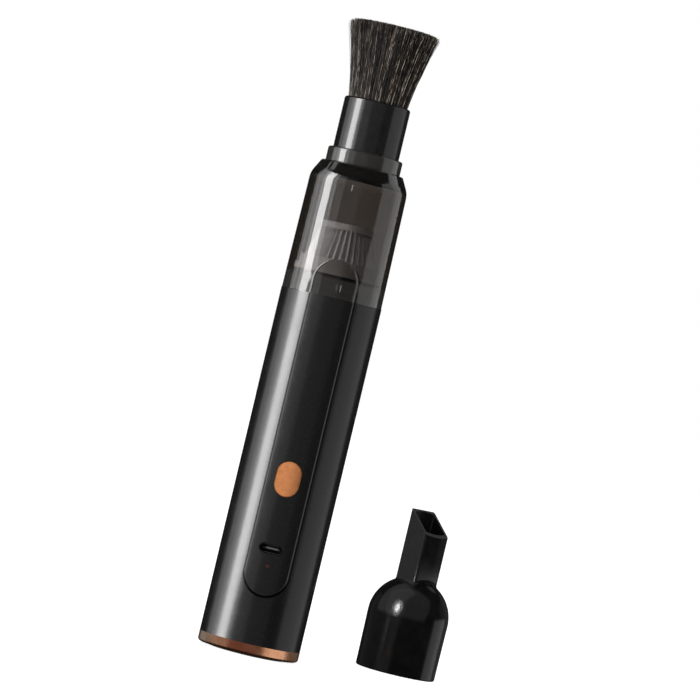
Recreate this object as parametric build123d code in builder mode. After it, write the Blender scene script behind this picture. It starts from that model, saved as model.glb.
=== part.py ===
from build123d import *
import math
import os

# Desktop mini vacuum cleaner with a brush nozzle fitted and a crevice nozzle beside it.
# Millimetres. +Z runs up the handle, the front with its button and charge port faces -Y,
# and the origin is the centre of the rubber foot, on the surface that the vacuum stands on.

# ------------------------------------------------------------------ clearances, per side
fit_gap = 0.05  # push fits and running fits
press_gap = 0.02  # pressed or glued together
slide_gap = 0.15  # pieces that slide past each other in a shaped hole
cup_gap = 0.30  # dust cup over the spigot, taken up by the seal
filter_rim_gap = 0.80  # filter's base inside the dust cup's bore
seal_gap = 0.05  # rubber seal to the bore it closes
air_gap = 0.40  # rotor to magnets

# ------------------------------------------------------------------ base
foot_d = 30.0
foot_t = 1.2
foot_stand = 0.5  # how far the foot stands below the trim ring
ring_h = 4.0  # copper trim ring
ring_wall = 1.9  # its wall beside the cap's flange
ring_step = 1.4  # ledge that the cap's flange pulls up against
ring_edge_r = 1.1
cap_flange_t = 1.2
cap_wall = 1.6
cap_floor_t = 2.4
cap_rise = 2.0  # cap's plug above the ring
base_screw_x = 12.6
base_screw_d = 1.8
base_screw_head_d = 3.4
base_screw_head_t = 1.0
base_screw_grip = 8.0  # length of thread in the casing's lug
lug_w = 5.0
lug_h = 10.0

# ------------------------------------------------------------------ battery, board and chassis
battery_d = 18.4
battery_len = 65.2
battery_nub_d = 6.0
battery_nub_h = 0.8
tab_t = 0.2
tab_w = 6.0
tab_drop = 5.0
tab_gap = 0.4  # bent part of a strip, off the cell's side
plate_t = 1.8  # chassis end plates
rail_w = 3.0
rail_overlap = 0.45  # rails' backs into the cell clips
rail_overhang = 0.8  # rails wider than the board, per side
rail_screw_shift = 0.7  # board screws inward of the rails' middle
clip_wall = 1.2
clip_h = 6.0
clip_clear = 1.0  # cell clips inside the casing's bore
clip_inset = 11.0  # cell clips in from the cell's ends
board_w = 24.0
board_t = 1.2
board_setback = 6.0  # board's face behind the casing's inner wall
board_margin = 6.4  # board beyond the button's and the light's centres
board_screw_d = 1.2
board_screw_head_d = 2.0
board_screw_head_t = 0.8
board_screw_inset = 3.0
chip_t = 1.4
chip_w = 5.0

# ------------------------------------------------------------------ motor and fan
motor_d = 24.4
motor_can_len = 29.7
motor_wall = 0.9
end_cap_t = 3.0
motor_boss_d = 6.4
motor_boss_h = 1.6
bush_d = 5.0
shaft_d = 2.0
terminal_len = 2.8
terminal_w = 2.0
terminal_t = 0.4
terminal_x = 5.5
terminal_room = 3.2  # free height under the terminals, where the leads bend
magnet_t = 1.6
rotor_core_len = 16.0
rotor_slot_w = 2.2
commutator_d = 6.0
commutator_len = 3.6
sleeve_t = 1.1
cradle_wall = 1.2
cradle_grip = 8.3
motor_screw_d = 1.8
motor_screw_head_d = 3.2
motor_screw_head_t = 1.0
motor_screw_r = 8.6
impeller_d = 26.8
impeller_eye_d = 14.0
impeller_plate_t = 1.0
blade_h = 5.6
blade_t = 0.8
blade_count = 9
blade_sweep = 35.0  # degrees from a blade's root to its tip
hub_d = 9.0
fan_wall = 1.05
fan_floor_t = 1.5
fan_under = 1.8  # impeller above the fan housing's floor
fan_over = 0.5  # impeller below the fan cover
cover_t = 1.2
guide_slots = 10
guide_slot_w = 2.2
guide_slot_len = 5.6

# ------------------------------------------------------------------ casing
casing_wall = 1.7
casing_lip = 0.15  # casing's face outside the dust cup's, per side
pad_w = 16.5
pad_raise = 0.45
pad_edge_r = 0.3
pad_below_light = 11.1
pad_over_cup = 13.9  # how far the pad runs up the dust cup
button_w = 9.3
button_h = 13.2
button_drop = 7.9  # button's centre below the chassis's upper plate
button_proud = 0.35
button_edge_r = 0.4
button_cap_t = 2.6
button_travel = 0.5
button_lip = 0.8
carrier_t = 1.5
stem_wall = 0.5  # carrier's stem beyond the plunger's radius
port_drop = 26.0  # port below the button
port_w = 9.2
port_h = 3.5
usb_w = 8.94
usb_h = 3.26
usb_wall = 0.3
usb_set_in = 0.6
tongue_w = 6.6
tongue_t = 0.7
tongue_set_in = 0.9
usb_block = 2.0
light_drop = 6.4  # charge light below the port
light_d = 1.5
light_collar_d = 3.2
led_w = 1.6
led_t = 0.8
led_gap = 0.3
light_collar_t = 1.2
switch_w = 6.0
switch_t = 3.0
plunger_d = 3.4
plunger_stand = 0.7
plunger_len = 1.8
vent_slots = 9
vent_pitch = 7.5  # degrees
vent_w = 1.3
vent_len = 16.0
screen_t = 0.8
screen_margin = 2.0  # screen past the slots' ends
lead_d = 1.0
motor_lead_inset = 3.5  # motor leads' pads from the board's upper edge
battery_lead_inset = 4.0  # lower battery lead's pad from the board's lower edge
battery_lead_drop = 6.0  # upper battery lead's pad below its strip's end

# ------------------------------------------------------------------ spigot and dust cup
mount_depth = 7.0  # spigot inside the casing
mount_rise = 7.3  # spigot inside the dust cup
mount_wall = 1.6
grille_t = 1.8
grille_slots = 10
grille_slot_len = 7.0
grille_slot_w = 1.9
grille_slot_r = 7.7
seal_d = 1.6
cup_top_d = 36.5
cup_wall = 1.75
cup_wall_len = 43.5  # seam to the shoulder's corner
shoulder_h = 5.5
shoulder_d = 30.6
shoulder_r = 8.0
bevel_r = 0.6
neck_d = 28.0
neck_h = 5.4
neck_wall = 2.6
neck_edge_r = 0.7

# ------------------------------------------------------------------ filter
seat_land = 3.55  # gasket's width on the spigot's end
seat_play = 2.0  # seat deeper than the filter's plug
filter_bore_d = 17.0
filter_plug_wall = 1.2
gasket_t = 0.8
gasket_inset = 0.5  # gasket's rim inside the spigot's
filter_base_d = 32.4
filter_base_h = 2.4
filter_step_d = 29.6
filter_step_h = 3.2
cone_d = 26.6
cone_top_d = 19.4
cone_h = 11.4
pleat_count = 36
pleat_depth = 1.3
pleat_paper = 1.0
filter_cap_d = 20.4
filter_cap_t = 2.4
filter_cap_edge_r = 0.5

# ------------------------------------------------------------------ brush nozzle
plug_len = 8.5
plug_gap = 0.15
tube_d = 24.7
tube_len = 19.3
tube_wall = 1.25
tube_edge_r = 0.8
plug_wall = 1.6
web_t = 2.0
root_depth = 12.0  # bristle roots held in the tube
channel_d = 14.6
channel_wall = 0.8
channel_rise = 2.0
bristle_len = 28.4
bristle_start = 0.6  # free hair begins to flare this far above the tube
bristle_d = 22.4
bristle_mid_d = 26.4
bristle_top_d = 32.2
bristle_hole_top_d = 19.0
bristle_edge_r = 1.6

# ------------------------------------------------------------------ crevice nozzle
nozzle_x = 56.6
nozzle_y = 72.0
nozzle_wall = 1.7
nozzle_neck_gap = 0.05
nozzle_skirt_h = 21.9
nozzle_h = 63.3
nozzle_drop = 8.4  # mouth's slant
mouth_w = 9.9
mouth_d = 13.9
mouth_bow = 0.65  # rise of the mouth's wide walls in their middle
mouth_wall = 1.2
mouth_corner_r = 1.0
nozzle_turn = 41.5
nozzle_blend_r = 1.6
nozzle_skirt_lip = 0.25
nozzle_edge_r = 0.7

# ------------------------------------------------------------------ heights, from the base up
ring_z0 = foot_stand
ring_z1 = ring_z0 + ring_h  # casing starts here
chassis_z0 = ring_z1 + cap_rise
battery_z0 = chassis_z0 + plate_t + tab_t
battery_z1 = battery_z0 + battery_len
upper_plate_z0 = battery_z1 + tab_t
upper_plate_z1 = upper_plate_z0 + plate_t
terminal_z0 = upper_plate_z1 + terminal_room
motor_z0 = terminal_z0 + terminal_len
can_z0 = motor_z0 + end_cap_t
can_z1 = can_z0 + motor_can_len
fan_floor_z1 = can_z1 + fan_floor_t
wheel_z0 = fan_floor_z1 + fan_under
wheel_z1 = wheel_z0 + 2 * impeller_plate_t + blade_h
cover_z0 = wheel_z1 + fan_over
cover_z1 = cover_z0 + cover_t
seam_z = cover_z1 + mount_depth
mount_z1 = seam_z + mount_rise
shoulder_z0 = seam_z + cup_wall_len
shoulder_z1 = shoulder_z0 + shoulder_h
neck_z1 = shoulder_z1 + neck_h
button_z = upper_plate_z0 - button_drop
port_z = button_z - port_drop
light_z = port_z - light_drop
pad_z0 = light_z - pad_below_light
pad_z1 = seam_z + pad_over_cup

# ------------------------------------------------------------------ radii, from the filter out
cup_bore_r = filter_base_d / 2 + filter_rim_gap
cup_r = cup_bore_r + cup_wall
body_r = cup_r + casing_lip
bore_r = body_r - casing_wall  # casing's bore
pad_r = body_r + pad_raise
rebate_r = body_r - ring_wall
ring_bore_r = rebate_r - ring_step
inner_r = bore_r - fit_gap  # pieces that stand in the casing's bore
fan_bore_r = inner_r - fan_wall
wheel_r = impeller_d / 2
motor_r = motor_d / 2
mount_r = cup_bore_r - cup_gap
seat_r = filter_base_d / 2 - seat_land
neck_r = neck_d / 2
neck_bore_r = neck_r - neck_wall
far = 2 * body_r  # past the outside of everything

# ------------------------------------------------------------------ depths, from the rear wall to the front
battery_r = battery_d / 2
clip_r = battery_r + slide_gap
battery_y = inner_r - clip_clear - clip_wall - clip_r
tab_y0 = battery_y - battery_r - tab_gap - tab_t  # front of the cell's strips
board_y1 = -(bore_r - board_setback)  # board's front face
board_y2 = board_y1 + board_t
rail_y1 = battery_y - clip_r - clip_wall + rail_overlap
rail_d = rail_y1 - board_y2
wire_y = (board_y2 + tab_y0) / 2  # battery leads, midway between the board and the strips
wire_way_y = wire_y + lead_d / 2 + slide_gap  # back of the free way for wires behind the board


def export(piece, name):
    """Label a finished piece and write it under its own name."""
    piece.label = name
    export_step(piece, f"parts/{name}.step")


def side_arc(radius, half_angle):
    """Two points and the middle of an arc about the axis, centred on the rear (+Y)."""
    a = math.radians(half_angle)
    left = (-radius * math.sin(a), radius * math.cos(a))
    right = (radius * math.sin(a), radius * math.cos(a))
    return left, (0, radius), right


def seal_ring(bore_radius, centre_z):
    """A round-section rubber ring that closes the given bore."""
    with BuildPart() as ring:
        with BuildSketch(Plane.XZ):
            with Locations((bore_radius - seal_gap - seal_d / 2, centre_z)):
                Circle(seal_d / 2)
        revolve(axis=Axis.Z)
    return ring.part


def screws(points, floor_z, head_d, head_t, shank_d, shank_len, up):
    """Pan-head screws at the given points, heads on the floor height, pointing up or down."""
    turn = 1 if up else -1
    with BuildPart() as group:
        with BuildSketch(Plane.XY.offset(floor_z)):
            with Locations(*points):
                Circle(head_d / 2)
        extrude(amount=-turn * head_t)
        with BuildSketch(Plane.XY.offset(floor_z)):
            with Locations(*points):
                Circle(shank_d / 2)
        extrude(amount=turn * shank_len)
    return group.part


os.makedirs("parts", exist_ok=True)

# ================================================================== handle: outside

# Raised pad that runs up the front of the casing and on over the dust cup.
with BuildPart() as raised_pad:
    with BuildSketch(Plane.XZ):
        with Locations((0, (pad_z0 + pad_z1) / 2)):
            SlotOverall(pad_z1 - pad_z0, pad_w, rotation=90)
    extrude(amount=far)
    with BuildSketch(Plane.XY.offset(pad_z0 - 1)):
        Circle(pad_r)
    extrude(amount=pad_z1 - pad_z0 + 2, mode=Mode.INTERSECT)
    pad_front = raised_pad.faces().filter_by(GeomType.CYLINDER).sort_by(Axis.Y)[0]
    fillet(pad_front.edges(), pad_edge_r)
    with BuildSketch(Plane.XY.offset(pad_z0 - 1)):
        Circle(cup_bore_r + 0.6 * cup_wall)
    extrude(amount=pad_z1 - pad_z0 + 2, mode=Mode.SUBTRACT)
seam_plane = Plane.XY.offset(seam_z)
casing_pad = split(raised_pad.part, bisect_by=seam_plane, keep=Keep.BOTTOM)
cup_pad = split(raised_pad.part, bisect_by=seam_plane, keep=Keep.TOP)

# Casing: one moulded tube with the pad, the port, light and button holes in front, and slots behind.
vent_z = (motor_z0 + cradle_grip + can_z1) / 2
vent_planes = []
for i in range(vent_slots):
    a = math.radians((i - (vent_slots - 1) / 2) * vent_pitch)
    outwards = (math.sin(a), math.cos(a), 0)
    sideways = (math.cos(a), -math.sin(a), 0)
    vent_planes.append(Plane(origin=(0, 0, vent_z), x_dir=sideways, z_dir=outwards))
with BuildPart() as casing:
    with BuildSketch(Plane.XY.offset(ring_z1)):
        Circle(body_r)
    extrude(amount=seam_z - ring_z1)
    add(casing_pad)
    with BuildSketch(Plane.XY.offset(ring_z1)):
        Circle(bore_r)
    extrude(amount=seam_z - ring_z1, mode=Mode.SUBTRACT)
    with BuildSketch(Plane.XZ.offset(board_setback)):
        with Locations((0, button_z)):
            SlotOverall(button_h + 2 * slide_gap, button_w + 2 * slide_gap, rotation=90)
        with Locations((0, port_z)):
            SlotOverall(port_w, port_h)
        with Locations((0, light_z)):
            Circle(light_d / 2 + fit_gap)
    extrude(amount=far, mode=Mode.SUBTRACT)
    with BuildSketch(*vent_planes):
        SlotOverall(vent_len, vent_w, rotation=90)
    extrude(amount=far, mode=Mode.SUBTRACT)
    with BuildSketch(Plane.XY.offset(chassis_z0)):
        Circle(bore_r + casing_wall / 2)
        Rectangle(far, lug_w, mode=Mode.INTERSECT)
        Rectangle(2 * (base_screw_x - lug_w / 2), far, mode=Mode.SUBTRACT)
    extrude(amount=lug_h)
    with BuildSketch(Plane.XY.offset(chassis_z0)):
        with Locations((base_screw_x, 0), (-base_screw_x, 0)):
            Circle(base_screw_d / 2 + fit_gap)
    extrude(amount=base_screw_grip + fit_gap, mode=Mode.SUBTRACT)
export(casing.part, "casing")

# Copper-coloured trim ring, clamped between the casing's end and the base cap.
with BuildPart() as base_ring:
    with BuildSketch(Plane.XY.offset(ring_z0)):
        Circle(body_r)
        Circle(ring_bore_r, mode=Mode.SUBTRACT)
    extrude(amount=ring_h)
    with BuildSketch(Plane.XY.offset(ring_z0)):
        Circle(rebate_r)
    extrude(amount=cap_flange_t, mode=Mode.SUBTRACT)
    fillet(base_ring.edges().group_by(Axis.Z)[0].sort_by(SortBy.RADIUS)[-1], ring_edge_r)
export(base_ring.part, "base_ring")

# Base cap: flange under the ring, plug through it, and a pocket for the foot.
base_points = [(base_screw_x, 0), (-base_screw_x, 0)]
foot_z1 = foot_t
head_z1 = foot_z1 + base_screw_head_t
with BuildPart() as base_cap:
    with BuildSketch(Plane.XY.offset(ring_z0)):
        Circle(rebate_r - fit_gap)
    extrude(amount=cap_flange_t)
    with BuildSketch(Plane.XY.offset(ring_z0)):
        Circle(ring_bore_r - fit_gap)
    extrude(amount=chassis_z0 - ring_z0)
    with BuildSketch(Plane.XY.offset(ring_z0 + cap_floor_t)):
        Circle(ring_bore_r - fit_gap - cap_wall)
        with Locations(*base_points):
            Circle(lug_w / 2, mode=Mode.SUBTRACT)
    extrude(amount=chassis_z0 - ring_z0 - cap_floor_t, mode=Mode.SUBTRACT)
    with BuildSketch(Plane.XY.offset(ring_z0)):
        Circle(foot_d / 2 + fit_gap)
    extrude(amount=foot_z1 - ring_z0, mode=Mode.SUBTRACT)
    with BuildSketch(Plane.XY.offset(foot_z1)):
        with Locations(*base_points):
            Circle(base_screw_head_d / 2 + fit_gap)
    extrude(amount=base_screw_head_t, mode=Mode.SUBTRACT)
    with BuildSketch(Plane.XY.offset(foot_z1)):
        with Locations(*base_points):
            Circle(base_screw_d / 2 + fit_gap)
    extrude(amount=chassis_z0 - foot_z1, mode=Mode.SUBTRACT)
export(base_cap.part, "base_cap")

base_screw_len = chassis_z0 - head_z1 + base_screw_grip
base_screws = screws(
    base_points, head_z1, base_screw_head_d, base_screw_head_t, base_screw_d, base_screw_len, up=True
)
export(base_screws, "base_screws")

with BuildPart() as foot_pad:
    with BuildSketch():
        Circle(foot_d / 2)
    extrude(amount=foot_t)
    fillet(foot_pad.edges().group_by(Axis.Z)[0], foot_stand / 2)
export(foot_pad.part, "foot_pad")

# ================================================================== handle: board and controls

board_z0 = light_z - board_margin
board_z1 = button_z + board_margin
rail_x1 = board_w / 2 + rail_overhang
rail_x0 = rail_x1 - rail_w
rail_mid = (rail_x0 + rail_x1) / 2
board_screw_x = rail_mid - rail_screw_shift
board_screw_points = [
    (-board_screw_x, board_z0 + board_screw_inset),
    (board_screw_x, board_z1 - board_screw_inset),
]

# Circuit board, standing behind the front wall with its face to the button.
with BuildPart() as circuit_board:
    with BuildSketch(Plane.XZ.offset(-board_y2)):
        with Locations((0, (board_z0 + board_z1) / 2)):
            RectangleRounded(board_w, board_z1 - board_z0, 1.0)
        with Locations(*board_screw_points):
            Circle(board_screw_d / 2 + fit_gap, mode=Mode.SUBTRACT)
    extrude(amount=board_t)
export(circuit_board.part, "circuit_board")

with BuildPart() as board_screws:
    with BuildSketch(Plane.XZ.offset(-board_y1)):
        with Locations(*board_screw_points):
            Circle(board_screw_head_d / 2)
    extrude(amount=board_screw_head_t)
    with BuildSketch(Plane.XZ.offset(-board_y1)):
        with Locations(*board_screw_points):
            Circle(board_screw_d / 2)
    extrude(amount=-(board_t + rail_d / 2))
export(board_screws.part, "board_screws")

# Charge chip, motor switch and coil on the board's front, between the port and the button.
chip_z = (port_z + button_z) / 2
with BuildPart() as board_parts:
    with BuildSketch(Plane.XZ.offset(-board_y1)):
        with Locations((-chip_w, chip_z), (chip_w, chip_z)):
            Rectangle(chip_w, chip_w)
        with Locations((0, chip_z + 1.4 * chip_w), (0, chip_z - 1.4 * chip_w)):
            Rectangle(chip_w / 2, chip_w / 3)
    extrude(amount=chip_t)
export(board_parts.part, "board_parts")

# USB-C receptacle: folded metal shell, and the tongue on its block.
usb_y = body_r - usb_set_in
with BuildPart() as usb_shell:
    with BuildSketch(Plane.XZ.offset(-board_y1)):
        with Locations((0, port_z)):
            SlotOverall(usb_w, usb_h)
            SlotOverall(usb_w - 2 * usb_wall, usb_h - 2 * usb_wall, mode=Mode.SUBTRACT)
    extrude(amount=usb_y + board_y1)
export(usb_shell.part, "usb_shell")

with BuildPart() as usb_tongue:
    with BuildSketch(Plane.XZ.offset(-board_y1)):
        with Locations((0, port_z)):
            SlotOverall(usb_w - 2 * usb_wall - press_gap, usb_h - 2 * usb_wall - press_gap)
    extrude(amount=usb_block)
    with BuildSketch(Plane.XZ.offset(-board_y1)):
        with Locations((0, port_z)):
            RectangleRounded(tongue_w, tongue_t, tongue_t / 3)
    extrude(amount=usb_y + board_y1 - tongue_set_in)
export(usb_tongue.part, "usb_tongue")

# Charge light: chip on the board, and a clear pipe out to the pad.
with BuildPart() as status_led:
    with BuildSketch(Plane.XZ.offset(-board_y1)):
        with Locations((0, light_z)):
            Rectangle(led_w, led_w / 2)
    extrude(amount=led_t)
export(status_led.part, "status_led")

pipe_y0 = led_t + led_gap - board_y1
with BuildPart() as light_pipe:
    with BuildSketch(Plane.XZ.offset(pipe_y0)):
        with Locations((0, light_z)):
            Circle(light_d / 2)
    extrude(amount=pad_r - pipe_y0 - fit_gap)
    with BuildSketch(Plane.XZ.offset(bore_r - slide_gap - light_collar_t)):
        with Locations((0, light_z)):
            Circle(light_collar_d / 2)
    extrude(amount=light_collar_t)
export(light_pipe.part, "light_pipe")

# Tact switch, with its plunger in a well.
switch_y = switch_t - board_y1
plunger_y = switch_y + plunger_stand
plunger_well = plunger_len - plunger_stand + button_travel + 2 * slide_gap
with BuildPart() as tact_switch:
    with BuildSketch(Plane.XZ.offset(-board_y1)):
        with Locations((0, button_z)):
            RectangleRounded(switch_w, switch_w, 0.5)
    extrude(amount=switch_t)
    with BuildSketch(Plane.XZ.offset(switch_y)):
        with Locations((0, button_z)):
            Circle(plunger_d / 2 + fit_gap)
    extrude(amount=-plunger_well, mode=Mode.SUBTRACT)
export(tact_switch.part, "tact_switch")

with BuildPart() as switch_plunger:
    with BuildSketch(Plane.XZ.offset(plunger_y)):
        with Locations((0, button_z)):
            Circle(plunger_d / 2)
    extrude(amount=-plunger_len)
export(switch_plunger.part, "switch_plunger")

# Button: a metal cap glued on a plastic carrier, whose lip holds it behind the casing's wall.
cap_y0 = pad_r + button_proud - button_cap_t
carrier_y0 = cap_y0 - carrier_t
with BuildPart() as button_cap:
    with BuildSketch(Plane.XZ.offset(cap_y0)):
        with Locations((0, button_z)):
            SlotOverall(button_h, button_w, rotation=90)
    extrude(amount=far)
    with BuildSketch(Plane.XY.offset(button_z - button_h)):
        Circle(pad_r + button_proud)
    extrude(amount=2 * button_h, mode=Mode.INTERSECT)
    button_front = button_cap.faces().filter_by(GeomType.CYLINDER).sort_by(Axis.Y)[0]
    fillet(button_front.edges(), button_edge_r)
export(button_cap.part, "button_cap")

with BuildPart() as button_carrier:
    with BuildSketch(Plane.XZ.offset(carrier_y0)):
        with Locations((0, button_z)):
            SlotOverall(button_h + 2 * button_lip, button_w + 2 * button_lip, rotation=90)
    extrude(amount=carrier_t)
    with BuildSketch(Plane.XY.offset(button_z - button_h)):
        Circle(bore_r - slide_gap)
    extrude(amount=2 * button_h, mode=Mode.INTERSECT)
    with BuildSketch(Plane.XZ.offset(plunger_y)):
        with Locations((0, button_z)):
            Circle(plunger_d / 2 + stem_wall)
    extrude(amount=carrier_y0 - plunger_y)
export(button_carrier.part, "button_carrier")

# ================================================================== handle: battery and chassis

with BuildPart() as battery_cell:
    with BuildSketch(Plane.XY.offset(battery_z0)):
        with Locations((0, battery_y)):
            Circle(battery_r)
    extrude(amount=battery_len - battery_nub_h)
    fillet(battery_cell.edges().filter_by(GeomType.CIRCLE), 0.6)
    with BuildSketch(Plane.XY.offset(battery_z1 - battery_nub_h)):
        with Locations((0, battery_y)):
            Circle(battery_nub_d / 2)
    extrude(amount=battery_nub_h)
export(battery_cell.part, "battery_cell")

# Welded nickel strips: across each end of the cell, then bent along it at the board's back.
with BuildPart() as battery_tabs:
    for z0, bend_z0 in ((battery_z0 - tab_t, battery_z0), (battery_z1, battery_z1 - tab_drop)):
        with BuildSketch(Plane.XY.offset(z0)):
            with Locations((0, (tab_y0 + battery_y) / 2)):
                Rectangle(tab_w, battery_y - tab_y0)
        extrude(amount=tab_t)
        with BuildSketch(Plane.XY.offset(bend_z0)):
            with Locations((0, tab_y0 + tab_t / 2)):
                Rectangle(tab_w, tab_t)
        extrude(amount=tab_drop)
export(battery_tabs.part, "battery_tabs")

# Chassis: two end plates, two rails for the board, clips for the cell and a cradle for the motor's end.
plate_notch_w = 2 * (rail_x0 - slide_gap)
cradle_r0 = motor_r + fit_gap + sleeve_t + fit_gap
cradle_z1 = motor_z0 + cradle_grip
with BuildPart() as chassis:
    for z0 in (chassis_z0, upper_plate_z0):
        with BuildSketch(Plane.XY.offset(z0)):
            Circle(inner_r)
            with Locations((0, -inner_r)):
                Rectangle(plate_notch_w, 2 * (inner_r + wire_way_y + lead_d / 2), mode=Mode.SUBTRACT)
            if z0 == chassis_z0:
                Rectangle(2 * (base_screw_x - lug_w / 2 - slide_gap), far, mode=Mode.INTERSECT)
        extrude(amount=plate_t)
    with BuildSketch(Plane.XY.offset(chassis_z0)):
        with Locations((rail_mid, (board_y2 + rail_y1) / 2), (-rail_mid, (board_y2 + rail_y1) / 2)):
            Rectangle(rail_w, rail_d)
    extrude(amount=upper_plate_z0 - chassis_z0)
    for z0 in (battery_z0 + clip_inset, battery_z1 - clip_inset - clip_h):
        with BuildSketch(Plane.XY.offset(z0)):
            with Locations((0, battery_y)):
                Circle(clip_r + clip_wall)
            with Locations((0, (wire_way_y + rail_y1) / 2)):
                Rectangle(2 * rail_x1, rail_y1 - wire_way_y)
            with Locations((0, battery_y)):
                Circle(clip_r, mode=Mode.SUBTRACT)
        extrude(amount=clip_h)
    with BuildSketch(Plane.XY.offset(upper_plate_z1)):
        Circle(cradle_r0 + cradle_wall)
        Circle(cradle_r0, mode=Mode.SUBTRACT)
    extrude(amount=cradle_z1 - upper_plate_z1)
    with BuildSketch(Plane.XZ):
        with Locations((0, (upper_plate_z1 + motor_z0) / 2)):
            Rectangle(plate_notch_w, motor_z0 - upper_plate_z1)
    extrude(amount=far, mode=Mode.SUBTRACT)
    with BuildSketch(Plane.XZ.offset(-board_y2)):
        with Locations(*board_screw_points):
            Circle(board_screw_d / 2 + fit_gap)
    extrude(amount=-rail_d / 2 - 0.5, mode=Mode.SUBTRACT)
export(chassis.part, "chassis")

# ================================================================== handle: motor and fan

with BuildPart() as motor_sleeve:
    with BuildSketch(Plane.XY.offset(motor_z0)):
        Circle(cradle_r0 - fit_gap)
        Circle(motor_r + fit_gap, mode=Mode.SUBTRACT)
    extrude(amount=cradle_grip)
export(motor_sleeve.part, "motor_sleeve")

bush_r = bush_d / 2
shaft_r = shaft_d / 2
motor_screw_points = [(motor_screw_r, 0), (-motor_screw_r, 0)]
with BuildPart() as motor_can:
    with BuildSketch(Plane.XY.offset(can_z0)):
        Circle(motor_r)
    extrude(amount=motor_can_len)
    fillet(motor_can.edges().group_by(Axis.Z)[-1], motor_wall)
    with BuildSketch(Plane.XY.offset(can_z1)):
        Circle(motor_boss_d / 2)
    extrude(amount=motor_boss_h)
    with BuildSketch(Plane.XY.offset(can_z0)):
        Circle(motor_r - motor_wall)
    extrude(amount=motor_can_len - motor_wall, mode=Mode.SUBTRACT)
    with BuildSketch(Plane.XY.offset(can_z1 - motor_wall)):
        Circle(bush_r + press_gap)
        with Locations(*motor_screw_points):
            Circle(motor_screw_d / 2 + fit_gap)
    extrude(amount=motor_wall + motor_boss_h, mode=Mode.SUBTRACT)
export(motor_can.part, "motor_can")

with BuildPart() as motor_end_cap:
    with BuildSketch(Plane.XY.offset(motor_z0)):
        Circle(motor_r)
        Circle(bush_r + press_gap, mode=Mode.SUBTRACT)
    extrude(amount=end_cap_t)
export(motor_end_cap.part, "motor_end_cap")

with BuildPart() as motor_bushes:
    for z0, length in ((motor_z0, end_cap_t), (can_z1 - motor_wall, motor_wall + motor_boss_h)):
        with BuildSketch(Plane.XY.offset(z0)):
            Circle(bush_r)
            Circle(shaft_r + fit_gap, mode=Mode.SUBTRACT)
        extrude(amount=length)
export(motor_bushes.part, "motor_bushes")

with BuildPart() as motor_terminals:
    with BuildSketch(Plane.XY.offset(terminal_z0)):
        with Locations((terminal_x, 0), (-terminal_x, 0)):
            Rectangle(terminal_w, terminal_t)
    extrude(amount=terminal_len)
export(motor_terminals.part, "motor_terminals")

# Two curved magnets against the can's wall, at the front and the rear.
magnet_r1 = motor_r - motor_wall - press_gap
magnet_r0 = magnet_r1 - magnet_t
core_r = magnet_r0 - air_gap
core_z0 = (can_z0 + can_z1 - rotor_core_len) / 2
with BuildPart() as motor_magnets:
    with BuildSketch(Plane.XY.offset(core_z0 - 1)):
        Circle(magnet_r1)
        Circle(magnet_r0, mode=Mode.SUBTRACT)
        Rectangle(1.1 * motor_r, motor_d, mode=Mode.INTERSECT)
    extrude(amount=rotor_core_len + 2)
export(motor_magnets.part, "motor_magnets")

# Three-pole core on the shaft.
with BuildPart() as rotor_core:
    with BuildSketch(Plane.XY.offset(core_z0)):
        Circle(core_r)
        with PolarLocations(core_r * 0.8, 3):
            Rectangle(core_r * 0.8, rotor_slot_w, mode=Mode.SUBTRACT)
        Circle(shaft_r + press_gap, mode=Mode.SUBTRACT)
    extrude(amount=rotor_core_len)
export(rotor_core.part, "rotor_core")

with BuildPart() as commutator:
    with BuildSketch(Plane.XY.offset(core_z0 - commutator_len - 1)):
        Circle(commutator_d / 2)
        Circle(shaft_r + press_gap, mode=Mode.SUBTRACT)
    extrude(amount=commutator_len)
export(commutator.part, "commutator")

hub_z1 = wheel_z0 + impeller_plate_t + 0.7 * blade_h
with BuildPart() as motor_shaft:
    with BuildSketch(Plane.XY.offset(motor_z0)):
        Circle(shaft_r)
    extrude(amount=hub_z1 + 0.5 - motor_z0)
export(motor_shaft.part, "motor_shaft")

export(
    screws(
        motor_screw_points, fan_floor_z1, motor_screw_head_d, motor_screw_head_t, motor_screw_d,
        fan_floor_t + motor_wall, up=False,
    ),
    "motor_screws",
)

# Fan housing: floor that the motor hangs from, wall, and a ring of guide slots for the air.
guide_r = (motor_r + fan_bore_r) / 2
with BuildPart() as fan_housing:
    with BuildSketch(Plane.XY.offset(can_z1)):
        Circle(inner_r)
    extrude(amount=cover_z0 - can_z1)
    with BuildSketch(Plane.XY.offset(fan_floor_z1)):
        Circle(fan_bore_r)
    extrude(amount=cover_z0 - fan_floor_z1, mode=Mode.SUBTRACT)
    with BuildSketch(Plane.XY.offset(can_z1)):
        Circle(motor_boss_d / 2 + fit_gap)
        with Locations(*motor_screw_points):
            Circle(motor_screw_d / 2 + fit_gap)
        with PolarLocations(guide_r, guide_slots):
            SlotOverall(guide_slot_len, guide_slot_w, rotation=90)
    extrude(amount=fan_floor_t, mode=Mode.SUBTRACT)
export(fan_housing.part, "fan_housing")

# Fan cover with its inlet bell, which meets the underside of the grille.
grille_r1 = grille_slot_r + grille_slot_len / 2
bell_z1 = seam_z - grille_t
eye_r = impeller_eye_d / 2
with BuildPart() as fan_cover:
    with BuildSketch(Plane.XZ):
        with BuildLine():
            Polyline(
                (eye_r, cover_z0),
                (inner_r, cover_z0),
                (inner_r, cover_z1),
                (eye_r + cover_t, cover_z1),
                (grille_r1 + cover_t, bell_z1),
                (grille_r1, bell_z1),
                (eye_r, cover_z0 + cover_t / 2),
                close=True,
            )
        make_face()
    revolve(axis=Axis.Z)
export(fan_cover.part, "fan_cover")

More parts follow.
